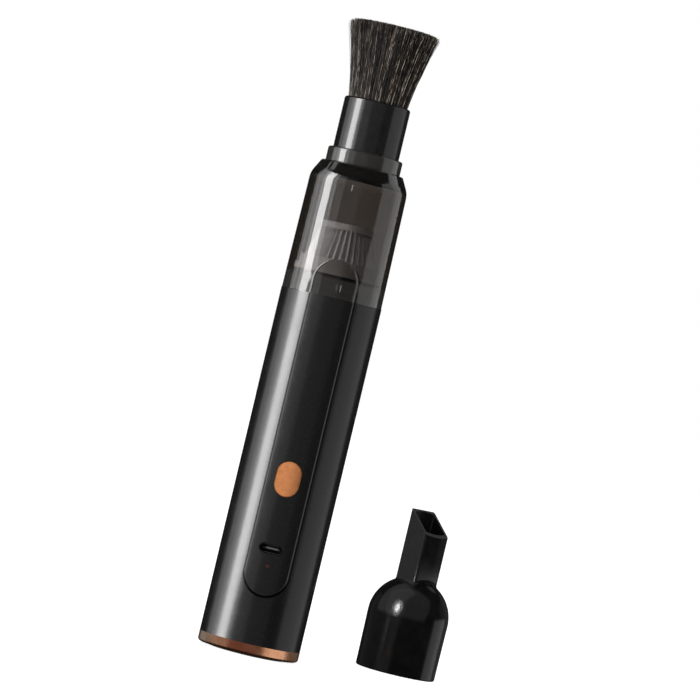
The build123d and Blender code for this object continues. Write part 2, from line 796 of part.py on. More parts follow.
# Closed fan wheel with swept-back blades.
hub_r = hub_d / 2
blade_r0 = eye_r - 1.5 * blade_t
blade_r1 = wheel_r - blade_t
blade_tip = (blade_r1 * math.cos(math.radians(blade_sweep)), -blade_r1 * math.sin(math.radians(blade_sweep)))
blade_middle = (0.96 * (blade_r0 + blade_tip[0]) / 2 + 0.9, 0.38 * blade_tip[1])
with BuildPart() as impeller:
    with BuildSketch(Plane.XY.offset(wheel_z0)):
        Circle(wheel_r)
    extrude(amount=impeller_plate_t)
    with BuildSketch(Plane.XY.offset(wheel_z0 + impeller_plate_t + blade_h)):
        Circle(wheel_r)
        Circle(eye_r, mode=Mode.SUBTRACT)
    extrude(amount=impeller_plate_t)
    with BuildSketch(Plane.XY.offset(wheel_z0 + impeller_plate_t)):
        with PolarLocations(0, blade_count):
            with BuildLine():
                ThreePointArc((blade_r0, 0), blade_middle, blade_tip)
            trace(line_width=blade_t)
    extrude(amount=blade_h)
    with BuildSketch(Plane.XY.offset(wheel_z0)):
        Circle(hub_r)
    extrude(amount=hub_z1 - wheel_z0)
    with BuildSketch(Plane.XY.offset(wheel_z0)):
        Circle(shaft_r + press_gap)
    extrude(amount=hub_z1 - wheel_z0, mode=Mode.SUBTRACT)
export(impeller.part, "impeller")

# Foam screen behind the exhaust slots.
screen_r1 = bore_r - 0.1
screen_angle = vent_pitch * (vent_slots + 1) / 2
with BuildPart() as exhaust_screen:
    with BuildSketch(Plane.XY.offset(vent_z - vent_len / 2 - screen_margin)):
        with BuildLine():
            outer = ThreePointArc(*side_arc(screen_r1, screen_angle))
            inner = ThreePointArc(*side_arc(screen_r1 - screen_t, screen_angle))
            Line(outer @ 0, inner @ 0)
            Line(outer @ 1, inner @ 1)
        make_face()
    extrude(amount=vent_len + 2 * screen_margin)
export(exhaust_screen.part, "exhaust_screen")

# ================================================================== handle: spigot for the dust cup

seal_z = seam_z + mount_rise / 2
groove_r = mount_r + cup_gap - seal_gap - seal_d
seat_z0 = seam_z
with BuildPart() as cup_mount:
    with BuildSketch(Plane.XZ):
        with BuildLine():
            Polyline(
                (seat_r, seat_z0),
                (seat_r, mount_z1),
                (mount_r, mount_z1),
                (mount_r, seam_z),
                (inner_r, seam_z),
                (inner_r, cover_z1),
                (inner_r - mount_wall, cover_z1),
                (inner_r - mount_wall, bell_z1),
                (0, bell_z1),
                (0, seat_z0),
                close=True,
            )
        make_face()
        with Locations((mount_r, seal_z)):
            Rectangle(2 * (mount_r - groove_r), seal_d + 2 * fit_gap, mode=Mode.SUBTRACT)
    revolve(axis=Axis.Z)
    with BuildSketch(Plane.XY.offset(bell_z1)):
        with PolarLocations(grille_slot_r, grille_slots):
            SlotOverall(grille_slot_len, grille_slot_w)
    extrude(amount=grille_t, mode=Mode.SUBTRACT)
export(cup_mount.part, "cup_mount")

export(seal_ring(cup_bore_r, seal_z), "cup_seal")

# ================================================================== dust cup

cup_top_r = cup_top_d / 2
shoulder_r1 = shoulder_d / 2
cup_inner_top_r = cup_top_r - cup_wall
skirt_z1 = mount_z1 + 0.5
inner_shoulder_z0 = shoulder_z0 - 0.3 * cup_wall
inner_shoulder_z1 = shoulder_z1 - 0.8 * cup_wall
with BuildPart() as dust_cup:
    with BuildSketch(Plane.XZ) as cup_section:
        with BuildLine():
            Polyline(
                (cup_bore_r, seam_z),
                (cup_r, seam_z),
                (cup_top_r, shoulder_z0),
                (shoulder_r1, shoulder_z1),
                (neck_r, shoulder_z1),
                (neck_r, neck_z1),
                (neck_bore_r, neck_z1),
                (neck_bore_r, inner_shoulder_z1),
                (cup_inner_top_r, inner_shoulder_z0),
                (cup_bore_r, skirt_z1),
                close=True,
            )
        make_face()
        outer_corner = cup_section.vertices().sort_by_distance((cup_top_r, shoulder_z0))[0]
        fillet(outer_corner, shoulder_r)
        top_corner = cup_section.vertices().sort_by_distance((neck_r, neck_z1))[0]
        fillet(top_corner, neck_edge_r)
        bevel_corner = cup_section.vertices().sort_by_distance((shoulder_r1, shoulder_z1))[0]
        fillet(bevel_corner, bevel_r)
    revolve(axis=Axis.Z)
    add(cup_pad)
export(dust_cup.part, "dust_cup")

# ================================================================== filter

plug_r = seat_r - fit_gap
filter_plug_z0 = seat_z0 + seat_play
gasket_z1 = mount_z1 + gasket_t
base_z1 = gasket_z1 + filter_base_h
step_z1 = base_z1 + filter_step_h
cone_z1 = step_z1 + cone_h
filter_bore_r = filter_bore_d / 2
cone_bore_r = cone_top_d / 2 - pleat_depth - pleat_paper
cone_foot_bore_r = cone_d / 2 - pleat_depth - pleat_paper
with BuildPart() as filter_frame:
    with BuildSketch(Plane.XZ):
        with BuildLine():
            Polyline(
                (plug_r - filter_plug_wall, filter_plug_z0),
                (plug_r, filter_plug_z0),
                (plug_r, gasket_z1),
                (filter_base_d / 2, gasket_z1),
                (filter_base_d / 2, base_z1),
                (filter_step_d / 2, base_z1),
                (filter_step_d / 2, step_z1),
                (filter_bore_r, step_z1),
                (filter_bore_r, gasket_z1),
                (plug_r - filter_plug_wall, mount_z1 - seat_play),
                close=True,
            )
        make_face()
    revolve(axis=Axis.Z)
export(filter_frame.part, "filter_frame")

with BuildPart() as filter_gasket:
    with BuildSketch(Plane.XY.offset(mount_z1)):
        Circle(mount_r - gasket_inset)
        Circle(plug_r + fit_gap, mode=Mode.SUBTRACT)
    extrude(amount=gasket_t)
export(filter_gasket.part, "filter_gasket")


def pleat_outline(outer_r):
    """Zigzag ring of the folded paper, seen along the axis."""
    points = []
    for i in range(2 * pleat_count):
        r = outer_r if i % 2 == 0 else outer_r - pleat_depth
        a = math.pi * i / pleat_count
        points.append((r * math.cos(a), r * math.sin(a)))
    return points


# Folded paper cone: zigzag outside, smooth inside, open at its foot to the frame's bore.
with BuildPart() as filter_pleats:
    with BuildSketch(Plane.XY.offset(step_z1)):
        Polygon(*pleat_outline(cone_d / 2), align=None)
    with BuildSketch(Plane.XY.offset(cone_z1)):
        Polygon(*pleat_outline(cone_top_d / 2), align=None)
    loft(ruled=True)
    with BuildSketch(Plane.XZ):
        with BuildLine():
            Polyline(
                (0, step_z1),
                (cone_foot_bore_r, step_z1),
                (cone_bore_r, cone_z1),
                (0, cone_z1),
                close=True,
            )
        make_face()
    revolve(axis=Axis.Z, mode=Mode.SUBTRACT)
export(filter_pleats.part, "filter_pleats")

with BuildPart() as filter_cap:
    with BuildSketch(Plane.XY.offset(cone_z1)):
        Circle(filter_cap_d / 2)
    extrude(amount=filter_cap_t)
    fillet(filter_cap.edges().group_by(Axis.Z)[-1], filter_cap_edge_r)
export(filter_cap.part, "filter_cap")

# ================================================================== brush nozzle

brush_plug_r = neck_bore_r - plug_gap
tube_r = tube_d / 2
tube_z1 = neck_z1 + tube_len
plug_z0 = neck_z1 - plug_len
root_z0 = tube_z1 - root_depth
web_z0 = root_z0 - web_t
socket_r = tube_r - tube_wall
channel_r = channel_d / 2
sleeve_r = channel_r + channel_wall
hair_bore_r = sleeve_r + press_gap
neck_seal_z = neck_z1 - neck_h / 2
neck_groove_r = neck_bore_r - seal_gap - seal_d
with BuildPart() as brush_tube:
    with BuildSketch(Plane.XZ) as tube_section:
        with BuildLine():
            Polyline(
                (brush_plug_r - plug_wall, plug_z0),
                (brush_plug_r, plug_z0),
                (brush_plug_r, neck_z1),
                (tube_r, neck_z1),
                (tube_r, tube_z1),
                (socket_r, tube_z1),
                (socket_r, root_z0),
                (hair_bore_r, root_z0),
                (hair_bore_r, web_z0),
                (brush_plug_r - plug_wall, web_z0),
                close=True,
            )
        make_face()
        with Locations((brush_plug_r, neck_seal_z)):
            Rectangle(2 * (brush_plug_r - neck_groove_r), seal_d + 2 * fit_gap, mode=Mode.SUBTRACT)
        rim = tube_section.vertices().sort_by_distance((tube_r, tube_z1))[0]
        fillet(rim, tube_edge_r)
    revolve(axis=Axis.Z)
export(brush_tube.part, "brush_tube")

export(seal_ring(neck_bore_r, neck_seal_z), "neck_seal")

# Inner sleeve: keeps the air way through the brush open.
with BuildPart() as bristle_sleeve:
    with BuildSketch(Plane.XY.offset(web_z0)):
        Circle(sleeve_r)
        Circle(channel_r, mode=Mode.SUBTRACT)
    extrude(amount=tube_z1 + channel_rise - web_z0)
export(bristle_sleeve.part, "bristle_sleeve")

# Bristles: a ring of hair bound in the tube, flaring to a flat-trimmed top.
bristle_z1 = tube_z1 + bristle_len
root_r = socket_r - press_gap
with BuildPart() as bristle_ring:
    with BuildSketch(Plane.XZ) as bristle_section:
        with BuildLine():
            Polyline(
                (bristle_top_d / 2, bristle_z1),
                (bristle_hole_top_d / 2, bristle_z1),
                (hair_bore_r, tube_z1 + channel_rise),
                (hair_bore_r, root_z0),
                (root_r, root_z0),
                (root_r, tube_z1),
                (bristle_d / 2, tube_z1 + bristle_start),
            )
            ThreePointArc(
                (bristle_d / 2, tube_z1 + bristle_start),
                (bristle_mid_d / 2, (tube_z1 + bristle_z1) / 2),
                (bristle_top_d / 2, bristle_z1),
            )
        make_face()
        rim = bristle_section.vertices().sort_by_distance((bristle_top_d / 2, bristle_z1))[0]
        fillet(rim, bristle_edge_r)
    revolve(axis=Axis.Z)
export(bristle_ring.part, "bristle_ring")

# ================================================================== leads inside the handle


def lead(points):
    """An insulated wire along straight runs joined by arcs as large as the runs allow."""
    radii = []
    for before, at, after in zip(points, points[1:], points[2:]):
        run_in = Vector(*at) - Vector(*before)
        run_out = Vector(*after) - Vector(*at)
        half_turn = math.radians(run_in.get_angle(run_out) / 2)
        radii.append(0.45 * min(run_in.length, run_out.length) / math.tan(half_turn))
    with BuildPart() as wire:
        with BuildLine() as path:
            FilletPolyline(*points, radius=radii)
        route = path.wires()[0]
        with BuildSketch(Plane(origin=route @ 0, z_dir=route % 0)):
            Circle(lead_d / 2)
        sweep(path=route)
    share = wire.part.volume / (math.pi * lead_d**2 / 4 * route.length)
    print("lead: bend radii", [round(r, 2) for r in radii], "volume over section times length", round(share, 4))
    return wire.part


# Motor leads: from the board's back, up through the chassis's notch, to the two terminals.
motor_lead_y = wire_way_y - slide_gap
motor_lead_z = board_z1 - motor_lead_inset
terminal_mid = terminal_z0 + terminal_len / 2
motor_leads = []
for x in (-terminal_x, terminal_x):
    motor_leads.append(
        lead(
            [
                (x, board_y2, motor_lead_z),
                (x, motor_lead_y, motor_lead_z),
                (x, motor_lead_y, terminal_mid),
                (x, -terminal_t / 2, terminal_mid),
            ]
        )
    )
export(Compound(children=motor_leads), "motor_leads")

# Battery leads: from each strip's bent end to the board's back, past the cell clips.
battery_leads = []
for strip_z, board_z in (
    (battery_z0 + tab_drop / 2, board_z0 + battery_lead_inset),
    (battery_z1 - tab_drop / 2, battery_z1 - tab_drop / 2 - battery_lead_drop),
):
    battery_leads.append(
        lead(
            [
                (0, tab_y0, strip_z),
                (0, wire_y, strip_z),
                (0, wire_y, board_z),
                (0, board_y2, board_z),
            ]
        )
    )
export(Compound(children=battery_leads), "battery_leads")

# ================================================================== crevice nozzle

# Soft black nozzle that stands on its open skirt beside the handle: round skirt and dome, and a
# flattened tube that is turned about its axis and cut off at a slant.
nozzle_bore_r = neck_r + nozzle_neck_gap
nozzle_r = nozzle_bore_r + nozzle_wall
nozzle_axis = Axis((nozzle_x, nozzle_y, 0), (0, 0, 1))
nozzle_section = Plane(origin=(nozzle_x, nozzle_y, 0), x_dir=(1, 0, 0), z_dir=(0, -1, 0))
turn_cos = math.cos(math.radians(nozzle_turn))
turn_sin = math.sin(math.radians(nozzle_turn))
mouth_plan = Plane(origin=(nozzle_x, nozzle_y, 0), x_dir=(turn_cos, -turn_sin, 0))
mouth_side = Plane(origin=mouth_plan.origin, x_dir=mouth_plan.x_dir, z_dir=-mouth_plan.y_dir)
slant = nozzle_drop / mouth_w
dome_z1 = nozzle_skirt_h + nozzle_r
dome_bore_z1 = nozzle_skirt_h + nozzle_bore_r


def mouth_outline(inset, corner_r):
    """Section of the flattened tube: straight narrow walls, wide walls that bow outwards."""
    half_w, half_d = mouth_w / 2 - inset, mouth_d / 2 - inset
    with BuildSketch() as outline:
        with BuildLine():
            Line((-half_w, -half_d), (half_w, -half_d))
            ThreePointArc((half_w, -half_d), (half_w + mouth_bow, 0), (half_w, half_d))
            Line((half_w, half_d), (-half_w, half_d))
            ThreePointArc((-half_w, half_d), (-half_w - mouth_bow, 0), (-half_w, -half_d))
        make_face()
        fillet(outline.vertices(), corner_r)
    return outline.sketch


tube_outline = mouth_outline(0, mouth_corner_r)
tube_bore = mouth_outline(mouth_wall, mouth_corner_r / 2)
with BuildPart() as crevice_nozzle:
    with BuildSketch(nozzle_section) as skirt_section:
        with BuildLine():
            Polyline((0, dome_z1), (0, 0), (nozzle_r - nozzle_skirt_lip, 0), (nozzle_r, nozzle_skirt_h))
            RadiusArc((nozzle_r, nozzle_skirt_h), (0, dome_z1), -nozzle_r)
        make_face()
        foot_edge = skirt_section.vertices().sort_by_distance((nozzle_r - nozzle_skirt_lip, 0))[0]
        fillet(foot_edge, nozzle_edge_r)
    revolve(axis=nozzle_axis)
    with BuildSketch(mouth_plan.offset(nozzle_skirt_h)):
        add(tube_outline)
    extrude(amount=nozzle_h - nozzle_skirt_h)
    above_skirt = crevice_nozzle.edges().filter_by_position(Axis.Z, nozzle_skirt_h + 1, dome_z1)
    fillet(above_skirt.filter_by(GeomType.LINE, reverse=True), nozzle_blend_r)
    with BuildSketch(nozzle_section):
        with BuildLine():
            Polyline((0, dome_bore_z1), (0, 0), (nozzle_bore_r, 0), (nozzle_bore_r, nozzle_skirt_h))
            RadiusArc((nozzle_bore_r, nozzle_skirt_h), (0, dome_bore_z1), -nozzle_bore_r)
        make_face()
    revolve(axis=nozzle_axis, mode=Mode.SUBTRACT)
    with BuildSketch(mouth_plan.offset(nozzle_skirt_h)):
        add(tube_bore)
    extrude(amount=nozzle_h, mode=Mode.SUBTRACT)
    with BuildSketch(mouth_side):
        Polygon(
            (-mouth_w, nozzle_h + slant * mouth_w / 2),
            (mouth_w, nozzle_h - 1.5 * slant * mouth_w),
            (mouth_w, nozzle_h + nozzle_drop),
            (-mouth_w, nozzle_h + nozzle_drop),
            align=None,
        )
    extrude(amount=mouth_d, both=True, mode=Mode.SUBTRACT)
export(crevice_nozzle.part, "crevice_nozzle")
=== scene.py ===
import math

import bpy
from mathutils import Matrix, Vector


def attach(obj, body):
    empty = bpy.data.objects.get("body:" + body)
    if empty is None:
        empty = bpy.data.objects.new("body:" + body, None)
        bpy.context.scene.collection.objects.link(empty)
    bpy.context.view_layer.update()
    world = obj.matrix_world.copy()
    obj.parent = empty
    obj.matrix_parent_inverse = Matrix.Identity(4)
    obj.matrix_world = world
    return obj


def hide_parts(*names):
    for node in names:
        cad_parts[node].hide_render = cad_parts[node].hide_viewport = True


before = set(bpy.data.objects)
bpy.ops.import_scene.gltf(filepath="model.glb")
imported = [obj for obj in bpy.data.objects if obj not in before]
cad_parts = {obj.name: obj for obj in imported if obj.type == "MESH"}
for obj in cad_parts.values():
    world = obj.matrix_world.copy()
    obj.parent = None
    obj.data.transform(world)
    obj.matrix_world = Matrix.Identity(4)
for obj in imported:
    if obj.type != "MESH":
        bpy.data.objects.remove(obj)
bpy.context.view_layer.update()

# ------------------------------------------------------------------ camera
# A long lens in front of the vacuum, level with its middle and rolled so that the tool leans. It
# looks at a point between the handle and the crevice nozzle.
look_at = Vector((0.01105, 0.0, 0.11695))
camera_distance = 1.5
sensor_width = 36.0  # mm
camera_elevation = 0.0  # level
camera_roll = math.radians(13.4)
view_width = 0.2575  # seen at the handle's axis
backwards = Vector((0, -math.cos(camera_elevation), math.sin(camera_elevation)))
level_right = Vector((1, 0, 0))
level_up = backwards.cross(level_right)
right = level_right * math.cos(camera_roll) + level_up * math.sin(camera_roll)
up = level_up * math.cos(camera_roll) - level_right * math.sin(camera_roll)
lens = bpy.data.cameras.new("long_lens")
lens.sensor_width = sensor_width
lens.lens = sensor_width * camera_distance / view_width
lens.clip_start = 0.1
lens.clip_end = 50.0
camera = bpy.data.objects.new("camera", lens)
camera.matrix_world = Matrix.Translation(look_at + backwards * camera_distance) @ Matrix(
    (right, up, backwards)
).transposed().to_4x4()
bpy.context.scene.collection.objects.link(camera)
bpy.context.scene.camera = camera
bpy.context.scene.view_settings.view_transform = "Standard"

# ------------------------------------------------------------------ studio: white surround and floor
# A white surround that the lens, polished pieces and the clear cup see at full white, with a softer
# level for the light that it gives. The floor is the same white and keeps the shadow.
surround_light = 0.42
floor_half = 6.0
floor_glow = 0.85
floor_grey = (0.8, 0.8, 0.8, 1)

world = bpy.data.worlds.new("white_surround")
bpy.context.scene.world = world
world.use_nodes = True
w = world.node_tree
w.nodes.clear()


def seen_directly(tree):
    """1 where the lens, a polished surface or clear plastic sees a thing, 0 for its light."""
    path = tree.nodes.new("ShaderNodeLightPath")
    first = tree.nodes.new("ShaderNodeMath")
    first.operation = "MAXIMUM"
    tree.links.new(path.outputs["Is Camera Ray"], first.inputs[0])
    tree.links.new(path.outputs["Is Glossy Ray"], first.inputs[1])
    second = tree.nodes.new("ShaderNodeMath")
    second.operation = "MAXIMUM"
    tree.links.new(first.outputs[0], second.inputs[0])
    tree.links.new(path.outputs["Is Transmission Ray"], second.inputs[1])
    return second.outputs[0]


shown = w.nodes.new("ShaderNodeBackground")
shown.inputs["Color"].default_value = (1, 1, 1, 1)
shown.inputs["Strength"].default_value = 1.0
given = w.nodes.new("ShaderNodeBackground")
given.inputs["Color"].default_value = (1, 1, 1, 1)
given.inputs["Strength"].default_value = surround_light
either = w.nodes.new("ShaderNodeMixShader")
w.links.new(seen_directly(w), either.inputs[0])
w.links.new(given.outputs[0], either.inputs[1])
w.links.new(shown.outputs[0], either.inputs[2])
w.links.new(either.outputs[0], w.nodes.new("ShaderNodeOutputWorld").inputs["Surface"])


def mesh_piece(name, points, faces, smooth=False):
    """A mesh object at the origin with its place in its points."""
    mesh = bpy.data.meshes.new(name)
    mesh.from_pydata([tuple(p) for p in points], [], faces)
    mesh.update()
    if smooth:
        mesh.polygons.foreach_set("use_smooth", [True] * len(mesh.polygons))
    piece = bpy.data.objects.new(name, mesh)
    bpy.context.scene.collection.objects.link(piece)
    return piece


floor_corners = [(x * floor_half, y * floor_half, 0) for x, y in ((-1, -1), (1, -1), (1, 1), (-1, 1))]
floor = mesh_piece("floor", floor_corners, [(0, 1, 2, 3)])
floor_paint = bpy.data.materials.new("floor_paint")
floor_paint.use_nodes = True
f = floor_paint.node_tree
f.nodes.clear()
matt = f.nodes.new("ShaderNodeBsdfDiffuse")
matt.inputs["Color"].default_value = floor_grey
glow = f.nodes.new("ShaderNodeEmission")
glow.inputs["Strength"].default_value = floor_glow
lit = f.nodes.new("ShaderNodeAddShader")
f.links.new(matt.outputs[0], lit.inputs[0])
f.links.new(glow.outputs[0], lit.inputs[1])
either = f.nodes.new("ShaderNodeMixShader")
f.links.new(seen_directly(f), either.inputs[0])
f.links.new(matt.outputs[0], either.inputs[1])
f.links.new(lit.outputs[0], either.inputs[2])
f.links.new(either.outputs[0], f.nodes.new("ShaderNodeOutputMaterial").inputs["Surface"])
floor.data.materials.append(floor_paint)
floor.visible_glossy = False
floor.visible_shadow = False

# ------------------------------------------------------------------ studio: black cards
# A closed tent of black cards that only shiny surfaces see. It keeps the black pieces black.
card_r = 0.9
card_z0, card_z1 = -0.35, 1.1
card_shine = 0.02
card_count = 48
card_points, card_faces = [], []
for i in range(card_count):
    a = 2 * math.pi * i / card_count
    for z in (card_z0, card_z1):
        card_points.append((card_r * math.cos(a), card_r * math.sin(a), z))
for i in range(card_count):
    k, n = 2 * i, 2 * ((i + 1) % card_count)
    card_faces.append((k, n, n + 1, k + 1))
card_faces.append(tuple(range(0, 2 * card_count, 2)))
card_faces.append(tuple(range(1, 2 * card_count, 2)))
cards = mesh_piece("black_cards", card_points, card_faces)
card_black = bpy.data.materials.new("card_black")
card_black.use_nodes = True
c = card_black.node_tree
c.nodes.clear()
felt = c.nodes.new("ShaderNodeEmission")
felt.inputs["Color"].default_value = (1, 1, 1, 1)
felt.inputs["Strength"].default_value = card_shine
c.links.new(felt.outputs[0], c.nodes.new("ShaderNodeOutputMaterial").inputs["Surface"])
cards.data.materials.append(card_black)
cards.visible_camera = False
cards.visible_diffuse = False
cards.visible_transmission = False
cards.visible_shadow = False
cards.visible_volume_scatter = False

# ------------------------------------------------------------------ studio: softboxes
# Angles run from the lens's side to the right, in degrees, and a level of 1 is white. On the left
# a tall bright softbox shades off into dim ones, and a wide soft panel stands on the right. The
# dust cup, the filter, the trim ring, the button and the crevice nozzle have softboxes of their own.


def softbox(name, centre, half, distance, tall, level, height=0.12, aim=(0, 0), tilt_to=None):
    """A tall rectangular softbox that spans centre +- half degrees as its aim sees it."""
    box = bpy.data.lights.new(name, "AREA")
    box.shape = "RECTANGLE"
    box.size = 2 * distance * math.tan(math.radians(half))
    box.size_y = tall
    box.energy = level * math.pi * box.size * tall
    lamp = bpy.data.objects.new(name, box)
    a = math.radians(centre)
    at = Vector((aim[0] + distance * math.sin(a), aim[1] - distance * math.cos(a), height))
    back = (at - Vector((*aim, height if tilt_to is None else tilt_to))).normalized()
    side = Vector((0, 0, 1)).cross(back).normalized()
    turn = Matrix((side, back.cross(side), back)).transposed().to_4x4()
    lamp.matrix_world = Matrix.Translation(at) @ turn
    lamp.visible_camera = False
    lamp.visible_transmission = False
    bpy.context.scene.collection.objects.link(lamp)
    return lamp


def pieces(name, nodes, skip=False):
    """A group of CAD pieces for a lamp, or all pieces but these."""
    group = bpy.data.collections.new(name)
    for node in nodes:
        group.objects.link(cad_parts[node])
    if skip:
        for entry in group.collection_objects:
            entry.light_linking.link_state = "EXCLUDE"
    return group


filter_pieces = ["filter_frame", "filter_pleats", "filter_cap", "filter_gasket"]
own_light = ["crevice_nozzle", "base_ring", "button_cap", "dust_cup", *filter_pieces]
most_pieces = pieces("most_pieces", own_light, skip=True)
for name, centre, half, distance, tall, level in [
    ("strip_softbox", -67.0, 11.2, 0.40, 0.70, 12.5),
    ("halo_softbox", -66.0, 21.0, 0.50, 0.90, 2.3),
    ("inner_softbox", -92.0, 8.0, 0.60, 1.00, 2.3),
    ("outer_softbox", -108.0, 6.0, 0.60, 1.00, 1.3),
    ("front_left_panel", -32.0, 16.0, 0.60, 1.00, 0.34),
    ("front_panel", -15.0, 25.0, 0.60, 1.00, 0.16),
    ("front_wide_panel", -15.0, 45.0, 0.60, 1.00, 0.14),
    ("right_panel", 93.0, 31.0, 0.60, 1.20, 0.6),
]:
    lamp = softbox(name, centre, half, distance, tall, level)
    lamp.visible_diffuse = name == "right_panel"
    lamp.light_linking.receiver_collection = most_pieces
fill = softbox("fill_softbox", -30.0, 20.0, 1.2, 0.9, 2.2, height=0.70, tilt_to=0.12)
fill.visible_glossy = False

# The cup's two crown panels hang above it and show in its rounded shoulder.
cup_group = pieces("cup_pieces", ["dust_cup"])
for name, centre, half, distance, tall, level, height, tilt_to in [
    ("cup_strip", -70.8, 9.6, 0.40, 0.70, 10.2, 0.12, None),
    ("cup_halo", -70.0, 20.0, 0.50, 0.90, 2.0, 0.12, None),
    ("cup_inner", -93.5, 10.5, 0.60, 1.00, 1.8, 0.12, None),
    ("cup_outer", -108.0, 6.0, 0.60, 1.00, 1.3, 0.12, None),
    ("cup_front_left", -42.0, 12.0, 0.60, 1.00, 0.60, 0.12, None),
    ("cup_front", -20.0, 30.0, 0.60, 1.00, 0.16, 0.12, None),
    ("cup_right", 94.0, 34.0, 0.60, 1.20, 0.80, 0.12, None),
    ("cup_right_edge", 112.0, 13.0, 0.60, 1.20, 0.35, 0.12, None),
    ("cup_crown_left", -100.0, 14.0, 0.35, 0.25, 1.3, 0.62, 0.18),
    ("cup_crown_right", 118.0, 14.0, 0.35, 0.25, 1.0, 0.62, 0.18),
]:
    lamp = softbox(name, centre, half, distance, tall, level, height, tilt_to=tilt_to)
    lamp.visible_diffuse = name in ("cup_right", "cup_halo")
    lamp.light_linking.receiver_collection = cup_group
inside = softbox("inside_softbox", -70.0, 16.0, 0.40, 0.70, 10.5)
inside.light_linking.receiver_collection = pieces("filter_group", filter_pieces)

ring_group = pieces("ring_pieces", ["base_ring"])
for name, centre, half, level, colour in [
    ("ring_right_softbox", 65.0, 29.0, 1.05, (1, 1, 1)),
    ("ring_left_softbox", -72.0, 22.0, 0.36, (1, 0.98, 0.98)),
    ("ring_left_far_softbox", -118.0, 26.0, 0.44, (0.62, 0.85, 1)),
    ("ring_front_softbox", -14.0, 42.0, 0.17, (1, 0.60, 0.56)),
    ("ring_far_softbox", 125.0, 25.0, 0.14, (1, 1, 1)),
]:
    lamp = softbox(name, centre, half, 0.60, 0.60, level, height=0.10)
    lamp.data.color = colour
    lamp.light_linking.receiver_collection = ring_group

button_box = softbox("button_softbox", -12.0, 26.0, 0.60, 0.60, 1.25, height=0.20, tilt_to=0.07)
button_box.light_linking.receiver_collection = pieces("button_pieces", ["button_cap"])

# Most lamps on the nozzle's left stand close to it, because the handle would hide farther ones.
nozzle_group = pieces("nozzle_pieces", ["crevice_nozzle"])
nozzle_at = (0.0566, 0.072)
for name, centre, half, distance, tall, level, height, tilt_to in [
    ("nozzle_right_panel", 98.0, 22.0, 0.100, 0.085, 0.62, -0.0075, None),
    ("nozzle_right_edge", 128.0, 24.0, 0.500, 0.640, 0.08, -0.0100, None),
    ("nozzle_left_panel", -38.0, 19.0, 0.060, 0.090, 0.14, -0.0120, None),
    ("nozzle_side_panel", -88.0, 48.0, 0.500, 0.640, 0.07, -0.0300, None),
    ("nozzle_spot", -29.6, 5.3, 0.0314, 0.011, 13.0, 0.0317, 0.017),
    ("nozzle_halo", -29.6, 11.0, 0.0314, 0.020, 2.4, 0.0317, 0.017),
    ("nozzle_top", -62.0, 42.0, 0.035, 0.091, 0.34, 0.0620, 0.039),
    ("nozzle_wide_top", -10.0, 65.0, 0.035, 0.091, 0.22, 0.0620, 0.039),
    ("nozzle_rim", 147.0, 8.0, 0.400, 0.120, 0.30, 0.4100, 0.060),
]:
    lamp = softbox(name, centre, half, distance, tall, level, height, nozzle_at, tilt_to)
    lamp.visible_diffuse = False
    if name in ("nozzle_spot", "nozzle_halo"):
        lamp.data.shape = "ELLIPSE"
    lamp.light_linking.receiver_collection = nozzle_group
    lamp.light_linking.blocker_collection = nozzle_group

# ------------------------------------------------------------------ casing
# Injection-moulded ABS tube with a satin black coat that carries a very fine metallic grain. The
# raised pad in front is the same moulding. A painted shade line runs round the pad with a painted
# highlight line inside it, and the inside of the charge port is painted shade black.
shell_black = (0.0085, 0.0085, 0.0088)
shell_flake = (0.020, 0.020, 0.021)
shell_rough = (0.20, 0.25)
shell_shine = 0.5
painted_shade_black = (0.0015, 0.0015, 0.0015)
painted_highlight_grey = (0.085, 0.085, 0.087)
pad_half = 0.00825
pad_low, pad_high = 0.02245 + pad_half, 0.14785 - pad_half  # centres of the pad's round ends
pad_aside = 0.0004  # the painted shade and highlight lines stand this much to the right
lower_arch_z = (0.0265, 0.0305)  # below these heights the painted shade line widens inwards
shade_line_band = (0.0, 0.00046, 0.00006)  # from, to and softness, outside the pad's outline
lower_shade_line_band = (-0.0004, 0.0003, 0.00006)
upper_shade_strength = 0.70  # the painted shade line's strength above them, against 1 below
highlight_line_band = (-0.00054, -0.00012, 0.00008)
highlight_left, highlight_right = 0.55, 0.80  # the painted highlight line's strength on its two sides
highlight_turn_x = (-0.002, 0.0075)
highlight_start_z = (0.0255, 0.0300)
port_z = 0.0400
port_straight = 0.00285  # half the straight part of the port's opening
port_half_h = 0.00180
# how much shine the painted shade takes off the coat
shade_dulling = 0.46


def finish(name):
    """A new material: its tree and its Principled shader, wired to the output."""
    made = bpy.data.materials.new(name)
    made.use_nodes = True
    tree = made.node_tree
    tree.nodes.clear()
    shader = tree.nodes.new("ShaderNodeBsdfPrincipled")
    tree.links.new(shader.outputs[0], tree.nodes.new("ShaderNodeOutputMaterial").inputs["Surface"])
    return made, tree, shader


def grain(tree, size, detail=2.0, stretch=(1, 1, 1)):
    """Noise with grains of about this size in metres, on the piece's own coordinates."""
    at = tree.nodes.new("ShaderNodeTexCoord")
    scaled = tree.nodes.new("ShaderNodeMapping")
    scaled.inputs["Scale"].default_value = stretch
    noise = tree.nodes.new("ShaderNodeTexNoise")
    noise.inputs["Scale"].default_value = 1 / size
    noise.inputs["Detail"].default_value = detail
    tree.links.new(at.outputs["Object"], scaled.inputs["Vector"])
    tree.links.new(scaled.outputs[0], noise.inputs["Vector"])
    return noise.outputs["Fac"]


def spread(tree, value, low, high, at=(0.3, 0.7)):
    """Map a noise value between two numbers."""
    mapped = tree.nodes.new("ShaderNodeMapRange")
    mapped.inputs["From Min"].default_value = at[0]
    mapped.inputs["From Max"].default_value = at[1]
    mapped.inputs["To Min"].default_value = low
    mapped.inputs["To Max"].default_value = high
    tree.links.new(value, mapped.inputs["Value"])
    return mapped.outputs[0]


def feed(tree, socket, value):
    """Feed a socket from another socket or with a plain value."""
    if isinstance(value, bpy.types.NodeSocket):
        tree.links.new(value, socket)
    else:
        socket.default_value = value


